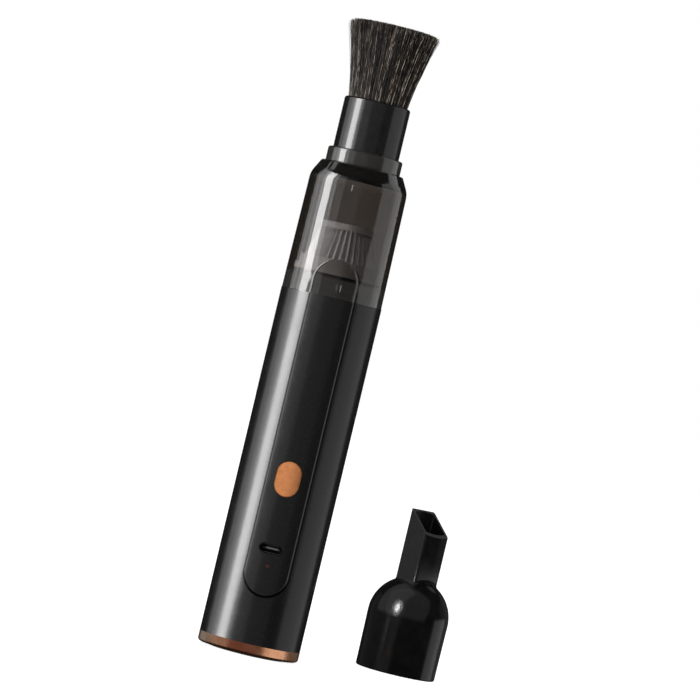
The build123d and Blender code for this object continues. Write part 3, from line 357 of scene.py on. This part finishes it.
def blend(tree, share, low, high):
    """Mix two colours, given plainly or by a socket."""
    mixed = tree.nodes.new("ShaderNodeMix")
    mixed.data_type = "RGBA"
    feed(tree, mixed.inputs["Factor"], share)
    for key, value in (("A", low), ("B", high)):
        feed(tree, mixed.inputs[key], (*value, 1) if isinstance(value, tuple) else value)
    return mixed.outputs["Result"]


def tint(tree, value, low, high, at=(0.35, 0.65)):
    """Mix two colours by a noise value."""
    return blend(tree, spread(tree, value, 0.0, 1.0, at), low, high)


def emboss(tree, shader, value, depth, strength=1.0):
    """Raise the surface by a noise value, to this depth in metres."""
    bump = tree.nodes.new("ShaderNodeBump")
    bump.inputs["Strength"].default_value = strength
    bump.inputs["Distance"].default_value = depth
    tree.links.new(value, bump.inputs["Height"])
    tree.links.new(bump.outputs[0], shader.inputs["Normal"])


def paint(tree, shader, value, low, high):
    """Colour a surface between two shades by a noise value."""
    tree.links.new(tint(tree, value, low, high), shader.inputs["Base Color"])


def roughen(tree, shader, value, low, high):
    """Set a surface's roughness between two numbers by a noise value."""
    tree.links.new(spread(tree, value, low, high), shader.inputs["Roughness"])


def dress(names, made):
    """Give these CAD pieces a finish."""
    for name in names:
        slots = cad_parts[name].material_slots
        for slot in slots:
            slot.material = made
        if not slots:
            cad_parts[name].data.materials.append(made)


def sum_of(tree, operation, a, b=0.0, clamp=False):
    """One sum on two values."""
    node = tree.nodes.new("ShaderNodeMath")
    node.operation = operation
    node.use_clamp = clamp
    feed(tree, node.inputs[0], a)
    feed(tree, node.inputs[1], b)
    return node.outputs[0]


def place_of(tree):
    """The three coordinates of a point on the piece."""
    at = tree.nodes.new("ShaderNodeTexCoord")
    split = tree.nodes.new("ShaderNodeSeparateXYZ")
    tree.links.new(at.outputs["Object"], split.inputs[0])
    return split.outputs


def band(tree, value, low, high, soft):
    """1 where a value lies between two limits, with soft ends."""
    rise = spread(tree, value, 0.0, 1.0, (low - soft, low + soft))
    fall = spread(tree, value, 1.0, 0.0, (high - soft, high + soft))
    return sum_of(tree, "MULTIPLY", rise, fall)


def length_of(tree, x, z):
    """How far a point lies from the middle."""
    square = sum_of(tree, "ADD", sum_of(tree, "MULTIPLY", x, x), sum_of(tree, "MULTIPLY", z, z))
    return sum_of(tree, "SQRT", square)


def off_pad(tree, aside=0.0):
    """Distance outside the raised pad's outline, on its front side."""
    x, y, z = place_of(tree)
    x = sum_of(tree, "SUBTRACT", x, aside)
    on_line = sum_of(tree, "MINIMUM", sum_of(tree, "MAXIMUM", z, pad_low), pad_high)
    up_end = sum_of(tree, "SUBTRACT", z, on_line)
    off = sum_of(tree, "SUBTRACT", length_of(tree, x, up_end), pad_half)
    behind = sum_of(tree, "GREATER_THAN", y, 0.0)
    return sum_of(tree, "ADD", off, behind)


shell_coat, t, shader = finish("satin_black_coat")
shell_x, shell_y, shell_z = place_of(t)
coat_colour = tint(t, grain(t, 0.00035, 1.0), shell_black, shell_flake, (0.55, 0.78))
outline = off_pad(t, pad_aside)
# Painted shade: a dark line round the pad's outline, widening under the pad's lower end.
shade_line = band(t, outline, *shade_line_band)
shade_line = sum_of(t, "MULTIPLY", shade_line, spread(t, shell_z, 1.0, upper_shade_strength, lower_arch_z))
lower_shade_line = band(t, outline, *lower_shade_line_band)
lower_shade_line = sum_of(t, "MULTIPLY", lower_shade_line, spread(t, shell_z, 1.0, 0.0, lower_arch_z))
shade_line = sum_of(t, "MAXIMUM", shade_line, lower_shade_line)
# Painted highlight: a pale line just inside the outline, stronger on the right and absent at the lower end.
highlight_line = band(t, outline, *highlight_line_band)
highlight_line = sum_of(t, "MULTIPLY", highlight_line, spread(t, shell_x, highlight_left, highlight_right, highlight_turn_x))
highlight_line = sum_of(t, "MULTIPLY", highlight_line, spread(t, shell_z, 0.0, 1.0, highlight_start_z))
coat_colour = blend(t, highlight_line, coat_colour, painted_highlight_grey)
# Painted shade: the casing's walls inside the charge port's opening are painted black.
port_side = sum_of(t, "SUBTRACT", sum_of(t, "ABSOLUTE", shell_x), port_straight)
port_side = sum_of(t, "MAXIMUM", port_side, 0.0)
from_port = length_of(t, port_side, sum_of(t, "SUBTRACT", shell_z, port_z))
port_shade = sum_of(t, "LESS_THAN", from_port, port_half_h)
port_shade = sum_of(t, "MULTIPLY", port_shade, sum_of(t, "LESS_THAN", shell_y, 0.0))
# Where shade is painted, the coat turns black and loses shine.
painted_shade = sum_of(t, "MAXIMUM", shade_line, port_shade)
t.links.new(blend(t, painted_shade, coat_colour, painted_shade_black), shader.inputs["Base Color"])
roughen(t, shader, grain(t, 0.009, 3.0), *shell_rough)
shine = sum_of(t, "SUBTRACT", shell_shine, sum_of(t, "MULTIPLY", painted_shade, shade_dulling))
t.links.new(shine, shader.inputs["Specular IOR Level"])
emboss(t, shader, grain(t, 0.00032, 2.0), 0.000004)
dress(["casing"], shell_coat)

# ------------------------------------------------------------------ inner mouldings
# Black ABS pieces that stand inside the casing, as they come from the mould: matt, lightly grained.
inner_black, t, shader = finish("moulded_black")
paint(t, shader, grain(t, 0.0015), (0.010, 0.010, 0.011), (0.018, 0.018, 0.019))
roughen(t, shader, grain(t, 0.003), 0.42, 0.55)
emboss(t, shader, grain(t, 0.0002), 0.000006)
dress(
    ["cup_mount", "base_cap", "chassis", "fan_housing", "fan_cover", "button_carrier", "bristle_sleeve"],
    inner_black,
)

# ------------------------------------------------------------------ copper pieces
# Zinc trim ring and stamped button cap with a satin copper plating, finely blasted.
copper_light = (0.72, 0.385, 0.235)
copper_dark = (0.60, 0.285, 0.150)
ring_copper, t, shader = finish("satin_copper_ring")
paint(t, shader, grain(t, 0.004, 3.0), copper_dark, copper_light)
roughen(t, shader, grain(t, 0.0006, 2.0), 0.24, 0.34)
shader.inputs["Metallic"].default_value = 1.0
emboss(t, shader, grain(t, 0.00012), 0.000002)
dress(["base_ring"], ring_copper)

button_copper, t, shader = finish("satin_copper_button")
paint(t, shader, grain(t, 0.0025, 3.0), (0.66, 0.245, 0.088), (0.75, 0.300, 0.115))
roughen(t, shader, grain(t, 0.0005, 2.0), 0.38, 0.48)
shader.inputs["Metallic"].default_value = 0.75
emboss(t, shader, grain(t, 0.0002), 0.000003)
dress(["button_cap"], button_copper)

# ------------------------------------------------------------------ metal, rubber and electric pieces
# Nickel-plated steel, turned brass, moulded rubber, the green-black board and its dark parts, the
# cell and leads in their sleeves, and the white fan wheel.
plated_steel, t, shader = finish("nickel_plated_steel")
paint(t, shader, grain(t, 0.002, 3.0), (0.42, 0.42, 0.41), (0.55, 0.55, 0.54))
roughen(t, shader, grain(t, 0.0006), 0.22, 0.36)
shader.inputs["Metallic"].default_value = 1.0
dress(
    ["base_screws", "board_screws", "motor_screws", "motor_can", "motor_shaft", "rotor_core", "battery_tabs"],
    plated_steel,
)

black_steel, t, shader = finish("black_plated_steel")
paint(t, shader, grain(t, 0.001), (0.006, 0.006, 0.006), (0.010, 0.010, 0.010))
roughen(t, shader, grain(t, 0.0006), 0.5, 0.6)
dress(["usb_shell"], black_steel)

turned_brass, t, shader = finish("turned_brass")
paint(t, shader, grain(t, 0.002, 3.0), (0.55, 0.38, 0.16), (0.70, 0.50, 0.22))
roughen(t, shader, grain(t, 0.0005), 0.22, 0.34)
shader.inputs["Metallic"].default_value = 1.0
dress(["motor_terminals", "motor_bushes", "commutator"], turned_brass)

soft_rubber, t, shader = finish("soft_rubber")
paint(t, shader, grain(t, 0.001), (0.016, 0.016, 0.016), (0.030, 0.030, 0.029))
roughen(t, shader, grain(t, 0.002), 0.65, 0.80)
emboss(t, shader, grain(t, 0.0003), 0.00002)
dress(["foot_pad", "cup_seal", "neck_seal", "filter_gasket", "motor_sleeve"], soft_rubber)

board_lacquer, t, shader = finish("board_lacquer")
paint(t, shader, grain(t, 0.004), (0.010, 0.035, 0.020), (0.016, 0.060, 0.032))
shader.inputs["Roughness"].default_value = 0.3
dress(["circuit_board"], board_lacquer)

chip_resin, t, shader = finish("chip_resin")
paint(t, shader, grain(t, 0.0008), (0.014, 0.014, 0.015), (0.026, 0.026, 0.027))
roughen(t, shader, grain(t, 0.001), 0.38, 0.5)
dress(["board_parts", "tact_switch", "switch_plunger", "motor_end_cap"], chip_resin)

tongue_lit_x = (-0.0020, 0.0024, 0.00015)  # the tongue's lit part, outside which it is painted in shade
tongue_lit_z = (0.03995, 0.0407, 0.0001)
tongue_resin, t, shader = finish("port_tongue")
tongue_x, _, tongue_z = place_of(t)
tongue_face = tint(t, grain(t, 0.0008), (0.20, 0.20, 0.20), (0.26, 0.26, 0.26))
tongue_lit_part = band(t, tongue_x, *tongue_lit_x)
tongue_lit_part = sum_of(t, "MULTIPLY", tongue_lit_part, band(t, tongue_z, *tongue_lit_z))
# Painted shade: the tongue is black beyond the part that shows lit through the opening.
t.links.new(blend(t, tongue_lit_part, (0.004, 0.004, 0.004), tongue_face), shader.inputs["Base Color"])
shader.inputs["Roughness"].default_value = 0.6
dress(["usb_tongue"], tongue_resin)

magnet_grey, t, shader = finish("ferrite_magnet")
paint(t, shader, grain(t, 0.001), (0.05, 0.05, 0.052), (0.09, 0.09, 0.092))
shader.inputs["Roughness"].default_value = 0.6
dress(["motor_magnets"], magnet_grey)

red_lens, t, shader = finish("red_light_lens")
paint(t, shader, grain(t, 0.0008), (0.045, 0.006, 0.006), (0.065, 0.008, 0.007))
shader.inputs["Roughness"].default_value = 0.35
dress(["status_led", "light_pipe"], red_lens)

cell_sleeve, t, shader = finish("cell_sleeve")
paint(t, shader, grain(t, 0.006), (0.03, 0.10, 0.26), (0.04, 0.13, 0.32))
shader.inputs["Roughness"].default_value = 0.35
dress(["battery_cell"], cell_sleeve)

lead_sleeve, t, shader = finish("lead_sleeve")
paint(t, shader, grain(t, 0.003), (0.30, 0.02, 0.02), (0.40, 0.03, 0.03))
shader.inputs["Roughness"].default_value = 0.45
dress(["battery_leads", "motor_leads"], lead_sleeve)

wheel_white, t, shader = finish("fan_wheel_white")
paint(t, shader, grain(t, 0.003), (0.62, 0.62, 0.60), (0.70, 0.70, 0.68))
shader.inputs["Roughness"].default_value = 0.4
dress(["impeller"], wheel_white)

screen_foam, t, shader = finish("screen_foam")
paint(t, shader, grain(t, 0.0005, 1.0), (0.010, 0.010, 0.010), (0.045, 0.045, 0.045))
shader.inputs["Roughness"].default_value = 0.9
emboss(t, shader, grain(t, 0.0005, 1.0), 0.0002)
dress(["exhaust_screen"], screen_foam)

# ------------------------------------------------------------------ dust cup
# Injection-moulded polycarbonate, smoked a warm grey right through, with polished walls. It pulls
# off the spigot, and the rubber ring under it seals it.
smoke_per_metre = 1200.0
smoke_colour = (0.215, 0.165, 0.125)
cup_index = 1.585
frost_grey = (0.070, 0.066, 0.062)
# the ticks' own grey, which also paints the arch's highlight lines
tick_and_highlight_grey = (0.42, 0.42, 0.41)
# black of the painted shade lines along the arch
arch_shade_black = (0.004, 0.004, 0.004)
neck_clouding, neck_z = 0.33, (0.1825, 0.1832)
shoulder_clouding, shoulder_z = 0.10, (0.1765, 0.1790)
foot_clouding, foot_z = 0.32, (0.1405, 0.1412)
bright_highlight_band = (-0.00034, -0.00004, 0.00005)  # from, to and softness, outside the pad's outline
dim_highlight_band = (-0.0006, 0.0003, 0.0001)
left_shade_band = (-0.0007, -0.00040, 0.00006)
right_shade_band = (0.0003, 0.0006, 0.00006)
arch_left_x = (-0.0055, -0.0045)
arch_right_x = (0.0056, 0.0066)
dim_highlight_share = 0.38
lower_tick_z = (0.1365, 0.1391, 0.00015)
upper_tick_z = (0.1732, 0.1756, 0.00015)
faint_tick_x = (0.00085, 0.00115, 0.0001)
plain_tick_x = (0.00237, 0.00267, 0.0001)
upper_tick_x = (-0.00200, -0.00165, 0.0001)
faint_tick_share = 0.55
tick_cover, shade_cover = 0.9, 0.8

smoked, t, shader = finish("smoked_polycarbonate")
cup_x, cup_y, cup_z = place_of(t)
shader.inputs["Base Color"].default_value = (1, 1, 1, 1)
shader.inputs["Transmission Weight"].default_value = 1.0
shader.inputs["IOR"].default_value = cup_index
wall_rough = spread(t, grain(t, 0.010, 2.0), 0.055, 0.085)
t.links.new(wall_rough, shader.inputs["Roughness"])
frosted = t.nodes.new("ShaderNodeBsdfPrincipled")
t.links.new(wall_rough, frosted.inputs["Roughness"])
frosted.inputs["IOR"].default_value = cup_index

# The neck, the shoulder and the foot are less clear than the wall.
neck_frost = spread(t, cup_z, 0.0, neck_clouding, neck_z)
shoulder_frost = spread(t, cup_z, 0.0, shoulder_clouding, shoulder_z)
foot_frost = spread(t, cup_z, foot_clouding, 0.0, foot_z)
frost = sum_of(t, "ADD", sum_of(t, "ADD", neck_frost, shoulder_frost), foot_frost)

# The pad's arch goes on over the cup as painted light: a painted highlight line on its left side and a dimmer
# one on its right, each with a painted shade line beside it.
outline = off_pad(t)
arch_left = spread(t, cup_x, 1.0, 0.0, arch_left_x)
arch_right = spread(t, cup_x, 0.0, 1.0, arch_right_x)
bright_arch_highlight = sum_of(t, "MULTIPLY", band(t, outline, *bright_highlight_band), arch_left)
dim_arch_highlight = sum_of(t, "MULTIPLY", band(t, outline, *dim_highlight_band), arch_right)
arch_highlight = sum_of(t, "MAXIMUM", bright_arch_highlight, sum_of(t, "MULTIPLY", dim_arch_highlight, dim_highlight_share))
# Painted shade: dark lines beside the arch's highlight lines.
left_shade = sum_of(t, "MULTIPLY", band(t, outline, *left_shade_band), arch_left)
right_shade = sum_of(t, "MULTIPLY", band(t, outline, *right_shade_band), arch_right)
arch_shade = sum_of(t, "MAXIMUM", left_shade, right_shade)

# Three short moulded ticks: two above the joint and one under the shoulder.
faint_tick = sum_of(t, "MULTIPLY", band(t, cup_x, *faint_tick_x), faint_tick_share)
lower_ticks = sum_of(t, "ADD", faint_tick, band(t, cup_x, *plain_tick_x))
lower_ticks = sum_of(t, "MULTIPLY", lower_ticks, band(t, cup_z, *lower_tick_z))
upper_tick = band(t, cup_x, *upper_tick_x)
upper_tick = sum_of(t, "MULTIPLY", upper_tick, band(t, cup_z, *upper_tick_z))
ticks = sum_of(t, "ADD", lower_ticks, upper_tick)
ticks = sum_of(t, "MULTIPLY", ticks, sum_of(t, "LESS_THAN", cup_y, 0.0))

# The ticks and the painted highlight lines lighten the frosted colour.
highlight_and_ticks = sum_of(t, "MAXIMUM", arch_highlight, sum_of(t, "MULTIPLY", ticks, tick_cover), clamp=True)
frost_and_highlight_colour = blend(t, highlight_and_ticks, frost_grey, tick_and_highlight_grey)
t.links.new(blend(t, arch_shade, frost_and_highlight_colour, arch_shade_black), frosted.inputs["Base Color"])
covered = sum_of(t, "MAXIMUM", highlight_and_ticks, sum_of(t, "MULTIPLY", arch_shade, shade_cover))
wall = t.nodes.new("ShaderNodeMixShader")
t.links.new(sum_of(t, "MAXIMUM", frost, covered), wall.inputs[0])
t.links.new(shader.outputs[0], wall.inputs[1])
t.links.new(frosted.outputs[0], wall.inputs[2])
smoke = t.nodes.new("ShaderNodeVolumeAbsorption")
smoke.inputs["Color"].default_value = (*smoke_colour, 1)
smoke.inputs["Density"].default_value = smoke_per_metre
output = t.get_output_node("ALL")
t.links.new(wall.outputs[0], output.inputs["Surface"])
t.links.new(smoke.outputs[0], output.inputs["Volume"])
dress(["dust_cup"], smoked)
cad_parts["dust_cup"].visible_shadow = False

# ------------------------------------------------------------------ filter
# Grey moulded frame and cap, and a cone of pleated white filter paper between them.
filter_grey, t, shader = finish("filter_grey")
paint(t, shader, grain(t, 0.002), (0.55, 0.55, 0.56), (0.62, 0.62, 0.63))
roughen(t, shader, grain(t, 0.002), 0.45, 0.6)
emboss(t, shader, grain(t, 0.0003), 0.000006)
dress(["filter_frame", "filter_cap"], filter_grey)

filter_paper, t, shader = finish("filter_paper")
paint(t, shader, grain(t, 0.0012, 3.0), (0.60, 0.60, 0.63), (0.75, 0.75, 0.77))
shader.inputs["Roughness"].default_value = 0.9
emboss(t, shader, grain(t, 0.0004, 3.0), 0.00005)
dress(["filter_pleats"], filter_paper)

# ------------------------------------------------------------------ brush tube
# Polished black tube that plugs into the cup's neck and holds the bristles.
gloss_black, t, shader = finish("polished_black")
paint(t, shader, grain(t, 0.006, 2.0), (0.011, 0.011, 0.012), (0.016, 0.016, 0.017))
roughen(t, shader, grain(t, 0.004, 3.0), 0.13, 0.18)
emboss(t, shader, grain(t, 0.0012), 0.000002)
dress(["brush_tube"], gloss_black)

# ------------------------------------------------------------------ crevice nozzle
# Moulded in one piece of soft black plastic with a low sheen, so its edges are gently rounded.
nozzle_soft, t, shader = finish("soft_black_nozzle")
paint(t, shader, grain(t, 0.004, 3.0), (0.0050, 0.0050, 0.0052), (0.0085, 0.0085, 0.0088))
roughen(t, shader, grain(t, 0.003, 3.0), 0.16, 0.19)
emboss(t, shader, grain(t, 0.0004), 0.000002)
dress(["crevice_nozzle"], nozzle_soft)

# ------------------------------------------------------------------ bristles
# Dark brown goat-like hair, bound as a ring in the brush tube and trimmed flat at the top, where
# the outer corner is rounded. Single light hairs stand among the dark ones, and each hair changes
# its tone a little along its length. A core of packed hair stands behind the strands, coloured dark
# for the hair's own tone and for painted shade deep in the bundle.
hair_count = 6500
hair_seed = 11
hair_points = 9
hair_r = 0.000115
hair_z0, hair_z1 = 0.2070, 0.2361
hair_root = (0.0080, 0.0110)  # inner and outer radius of the ring
hair_tip = (0.0094, 0.0160)
hair_bow = 0.63  # share of the flare that runs straight
hair_corner = 0.0019
hair_clump = 0.0015
clump_scale = 700.0
clump_climb = 0.0045  # how fast the clumps change up the hair
hair_stray = 0.0013
stray_power = 1.5
hair_taper = 0.6  # share of the radius that is lost at the tip
trim_play = 0.0005

hair_dark = (0.0050, 0.0038, 0.0032)
hair_brown = (0.0650, 0.0470, 0.0350)
hair_light = (0.5200, 0.4400, 0.3500)
dark_share, brown_share = 0.42, 0.82  # of the hairs, and the rest run up to light
hair_coat, t, shader = finish("bristle_hair")
tone = t.nodes.new("ShaderNodeAttribute")
tone.attribute_name = "strand_tone"
shades = t.nodes.new("ShaderNodeValToRGB")
shades.color_ramp.elements[0].position = dark_share
shades.color_ramp.elements[0].color = (*hair_dark, 1)
shades.color_ramp.elements[1].position = brown_share
shades.color_ramp.elements[1].color = (*hair_brown, 1)
shades.color_ramp.elements.new(1.0).color = (*hair_light, 1)
along_hair = spread(t, grain(t, 0.0007, 2.0, (1, 1, 0.25)), -0.22, 0.22)
t.links.new(sum_of(t, "ADD", tone.outputs["Fac"], along_hair), shades.inputs["Fac"])
t.links.new(shades.outputs["Color"], shader.inputs["Base Color"])
roughen(t, shader, grain(t, 0.002), 0.42, 0.55)
shader.inputs["Specular IOR Level"].default_value = 0.3

hair = bpy.data.node_groups.new("hair_ring", "GeometryNodeTree")
hair_inputs = {}
for label, kind, value in [
    ("Hairs", "NodeSocketInt", hair_count),
    ("Seed", "NodeSocketInt", hair_seed),
    ("Hair Radius", "NodeSocketFloat", hair_r),
    ("Root Height", "NodeSocketFloat", hair_z0),
    ("Tip Height", "NodeSocketFloat", hair_z1),
    ("Root Inner Radius", "NodeSocketFloat", hair_root[0]),
    ("Root Outer Radius", "NodeSocketFloat", hair_root[1]),
    ("Tip Inner Radius", "NodeSocketFloat", hair_tip[0]),
    ("Tip Outer Radius", "NodeSocketFloat", hair_tip[1]),
    ("Corner Radius", "NodeSocketFloat", hair_corner),
    ("Clumping", "NodeSocketFloat", hair_clump),
    ("Straying", "NodeSocketFloat", hair_stray),
    ("Trim Play", "NodeSocketFloat", trim_play),
]:
    socket = hair.interface.new_socket(label, in_out="INPUT", socket_type=kind)
    hair_inputs[socket.identifier] = value
hair.interface.new_socket("Geometry", in_out="OUTPUT", socket_type="NodeSocketGeometry")
given_in = hair.nodes.new("NodeGroupInput").outputs


def wire(node, socket, value):
    """Feed one socket of a hair node."""
    feed(hair, node.inputs[socket], value)


def calc(operation, a, b=0.0, clamp=False):
    """One sum on two values of the hair."""
    return sum_of(hair, operation, a, b, clamp)


def mix(low, high, share):
    """The value this share of the way from low to high."""
    return calc("ADD", calc("MULTIPLY", calc("SUBTRACT", high, low), share), low)


def ring_radius(inner, outer, share):
    """Radius that spreads the hairs evenly over the ring's area."""
    return calc("SQRT", mix(calc("MULTIPLY", inner, inner), calc("MULTIPLY", outer, outer), share))


def kept_random(points, name, low, high, order):
    """Store one random value per hair."""
    value = hair.nodes.new("FunctionNodeRandomValue")
    value.data_type = "FLOAT"
    wire(value, 2, low)
    wire(value, 3, high)
    wire(value, 8, calc("ADD", given_in["Seed"], order))
    store = hair.nodes.new("GeometryNodeStoreNamedAttribute")
    store.data_type = "FLOAT"
    store.domain = "POINT"
    wire(store, "Name", name)
    wire(store, "Value", value.outputs[1])
    hair.links.new(points, store.inputs["Geometry"])
    return store.outputs["Geometry"]


def kept(name):
    """A stored random value of the hair."""
    node = hair.nodes.new("GeometryNodeInputNamedAttribute")
    node.data_type = "FLOAT"
    wire(node, "Name", name)
    return node.outputs["Attribute"]


roots = hair.nodes.new("GeometryNodePoints")
wire(roots, "Count", given_in["Hairs"])
flow = roots.outputs[0]
for order, (name, low_end, high_end) in enumerate(
    [
        ("across", 0.0, 1.0),
        ("around", 0.0, 2 * math.pi),
        ("strand_tone", 0.0, 1.0),
        ("stray_x", -1.0, 1.0),
        ("stray_y", -1.0, 1.0),
        ("short", 0.0, 1.0),
    ]
):
    flow = kept_random(flow, name, low_end, high_end, order)
straight = hair.nodes.new("GeometryNodeCurvePrimitiveLine")
wire(straight, "End", (0, 0, 1))
even = hair.nodes.new("GeometryNodeResampleCurve")
wire(even, "Count", hair_points)
hair.links.new(straight.outputs[0], even.inputs["Curve"])
planted = hair.nodes.new("GeometryNodeInstanceOnPoints")
hair.links.new(flow, planted.inputs["Points"])
hair.links.new(even.outputs[0], planted.inputs["Instance"])
loose = hair.nodes.new("GeometryNodeRealizeInstances")
hair.links.new(planted.outputs[0], loose.inputs[0])

up_hair = hair.nodes.new("GeometryNodeSplineParameter").outputs["Factor"]
root_at = ring_radius(given_in["Root Inner Radius"], given_in["Root Outer Radius"], kept("across"))
tip_at = ring_radius(given_in["Tip Inner Radius"], given_in["Tip Outer Radius"], kept("across"))
curved = calc("MULTIPLY", calc("POWER", up_hair, 2), 1 - hair_bow)
bowed = calc("ADD", calc("MULTIPLY", up_hair, hair_bow), curved)
hair_at = mix(root_at, tip_at, bowed)
cos_a, sin_a = calc("COSINE", kept("around")), calc("SINE", kept("around"))
clump_at = hair.nodes.new("ShaderNodeCombineXYZ")
wire(clump_at, 0, calc("MULTIPLY", cos_a, root_at))
wire(clump_at, 1, calc("MULTIPLY", sin_a, root_at))
wire(clump_at, 2, calc("MULTIPLY", up_hair, clump_climb))
clumps = hair.nodes.new("ShaderNodeTexNoise")
wire(clumps, "Scale", clump_scale)
wire(clumps, "Detail", 1.5)
hair.links.new(clump_at.outputs[0], clumps.inputs["Vector"])
pulled = hair.nodes.new("ShaderNodeSeparateXYZ")
hair.links.new(clumps.outputs["Color"], pulled.inputs[0])
pull = calc("MULTIPLY", given_in["Clumping"], up_hair)
stray = calc("MULTIPLY", given_in["Straying"], calc("POWER", up_hair, stray_power))
place = hair.nodes.new("ShaderNodeCombineXYZ")
for axis, turn, name in ((0, cos_a, "stray_x"), (1, sin_a, "stray_y")):
    off = calc("MULTIPLY", calc("SUBTRACT", pulled.outputs[axis], 0.5), pull)
    off = calc("ADD", off, calc("MULTIPLY", kept(name), stray))
    wire(place, axis, calc("ADD", calc("MULTIPLY", turn, hair_at), off))
corner_in = calc("SUBTRACT", given_in["Tip Outer Radius"], given_in["Corner Radius"])
past = calc("DIVIDE", calc("SUBTRACT", tip_at, corner_in), given_in["Corner Radius"], clamp=True)
round_off = calc("SUBTRACT", 1.0, calc("SQRT", calc("SUBTRACT", 1.0, calc("MULTIPLY", past, past))))
drop = calc("MULTIPLY", round_off, given_in["Corner Radius"])
drop = calc("ADD", drop, calc("MULTIPLY", calc("POWER", kept("short"), 3), given_in["Trim Play"]))
wire(place, 2, mix(given_in["Root Height"], calc("SUBTRACT", given_in["Tip Height"], drop), up_hair))
bent = hair.nodes.new("GeometryNodeSetPosition")
hair.links.new(loose.outputs[0], bent.inputs["Geometry"])
hair.links.new(place.outputs[0], bent.inputs["Position"])

section = hair.nodes.new("GeometryNodeCurvePrimitiveCircle")
wire(section, "Resolution", 3)
wire(section, "Radius", given_in["Hair Radius"])
solid = hair.nodes.new("GeometryNodeCurveToMesh")
wire(solid, "Scale", calc("SUBTRACT", 1.0, calc("MULTIPLY", calc("POWER", up_hair, 3), hair_taper)))
wire(solid, "Fill Caps", True)
hair.links.new(bent.outputs[0], solid.inputs["Curve"])
hair.links.new(section.outputs[0], solid.inputs["Profile Curve"])
whole = hair.nodes.new("GeometryNodeRealizeInstances")
hair.links.new(solid.outputs[0], whole.inputs[0])
painted = hair.nodes.new("GeometryNodeSetMaterial")
wire(painted, "Material", hair_coat)
hair.links.new(whole.outputs[0], painted.inputs["Geometry"])
hair.links.new(painted.outputs[0], hair.nodes.new("NodeGroupOutput").inputs["Geometry"])

hairs = mesh_piece("bristle_hairs", [], [])
growth = hairs.modifiers.new("hair_ring", "NODES")
growth.node_group = hair
for identifier, value in hair_inputs.items():
    growth[identifier] = value
grown = bpy.data.meshes.new_from_object(hairs.evaluated_get(bpy.context.evaluated_depsgraph_get()))
hairs.modifiers.clear()
hairs.data = grown
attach(hairs, "brush")
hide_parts("bristle_ring")
hair_box = softbox("hair_softbox", -36.0, 20.0, 0.60, 0.50, 2.4, height=0.30, tilt_to=0.22)
hair_group = bpy.data.collections.new("hair_pieces")
hair_group.objects.link(hairs)
hair_box.light_linking.receiver_collection = hair_group

core_outer = [(0.0102, 0.2070), (0.0104, 0.2105), (0.0120, 0.2190), (0.0138, 0.2280), (0.0146, 0.2322)]
core_inner = [(0.0102, 0.2322), (0.0098, 0.2280), (0.0090, 0.2190), (0.0084, 0.2105), (0.0083, 0.2070)]
core_path = core_outer + core_inner
core_sides = 96
packed = (1, 1, 0.08)  # stretches the core's grain along the hair
core_points, core_faces = [], []
for i in range(core_sides):
    a = 2 * math.pi * i / core_sides
    for r, z in core_path:
        core_points.append((r * math.cos(a), r * math.sin(a), z))
for i in range(core_sides):
    for j in range(len(core_path)):
        k = (j + 1) % len(core_path)
        a, b = len(core_path) * i, len(core_path) * ((i + 1) % core_sides)
        core_faces.append((a + j, b + j, b + k, a + k))
core = mesh_piece("bristle_core", core_points, core_faces, smooth=True)
# Darker than the strands: the hair's own dark tone with painted shade of the packed bundle.
shaded_core_coat, t, shader = finish("bristle_core")
paint(t, shader, grain(t, 0.0009, 2.0, packed), (0.004, 0.003, 0.003), (0.020, 0.015, 0.013))
shader.inputs["Roughness"].default_value = 0.8
emboss(t, shader, grain(t, 0.0006, 2.0, packed), 0.0003)
core.data.materials.append(shaded_core_coat)
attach(core, "brush")
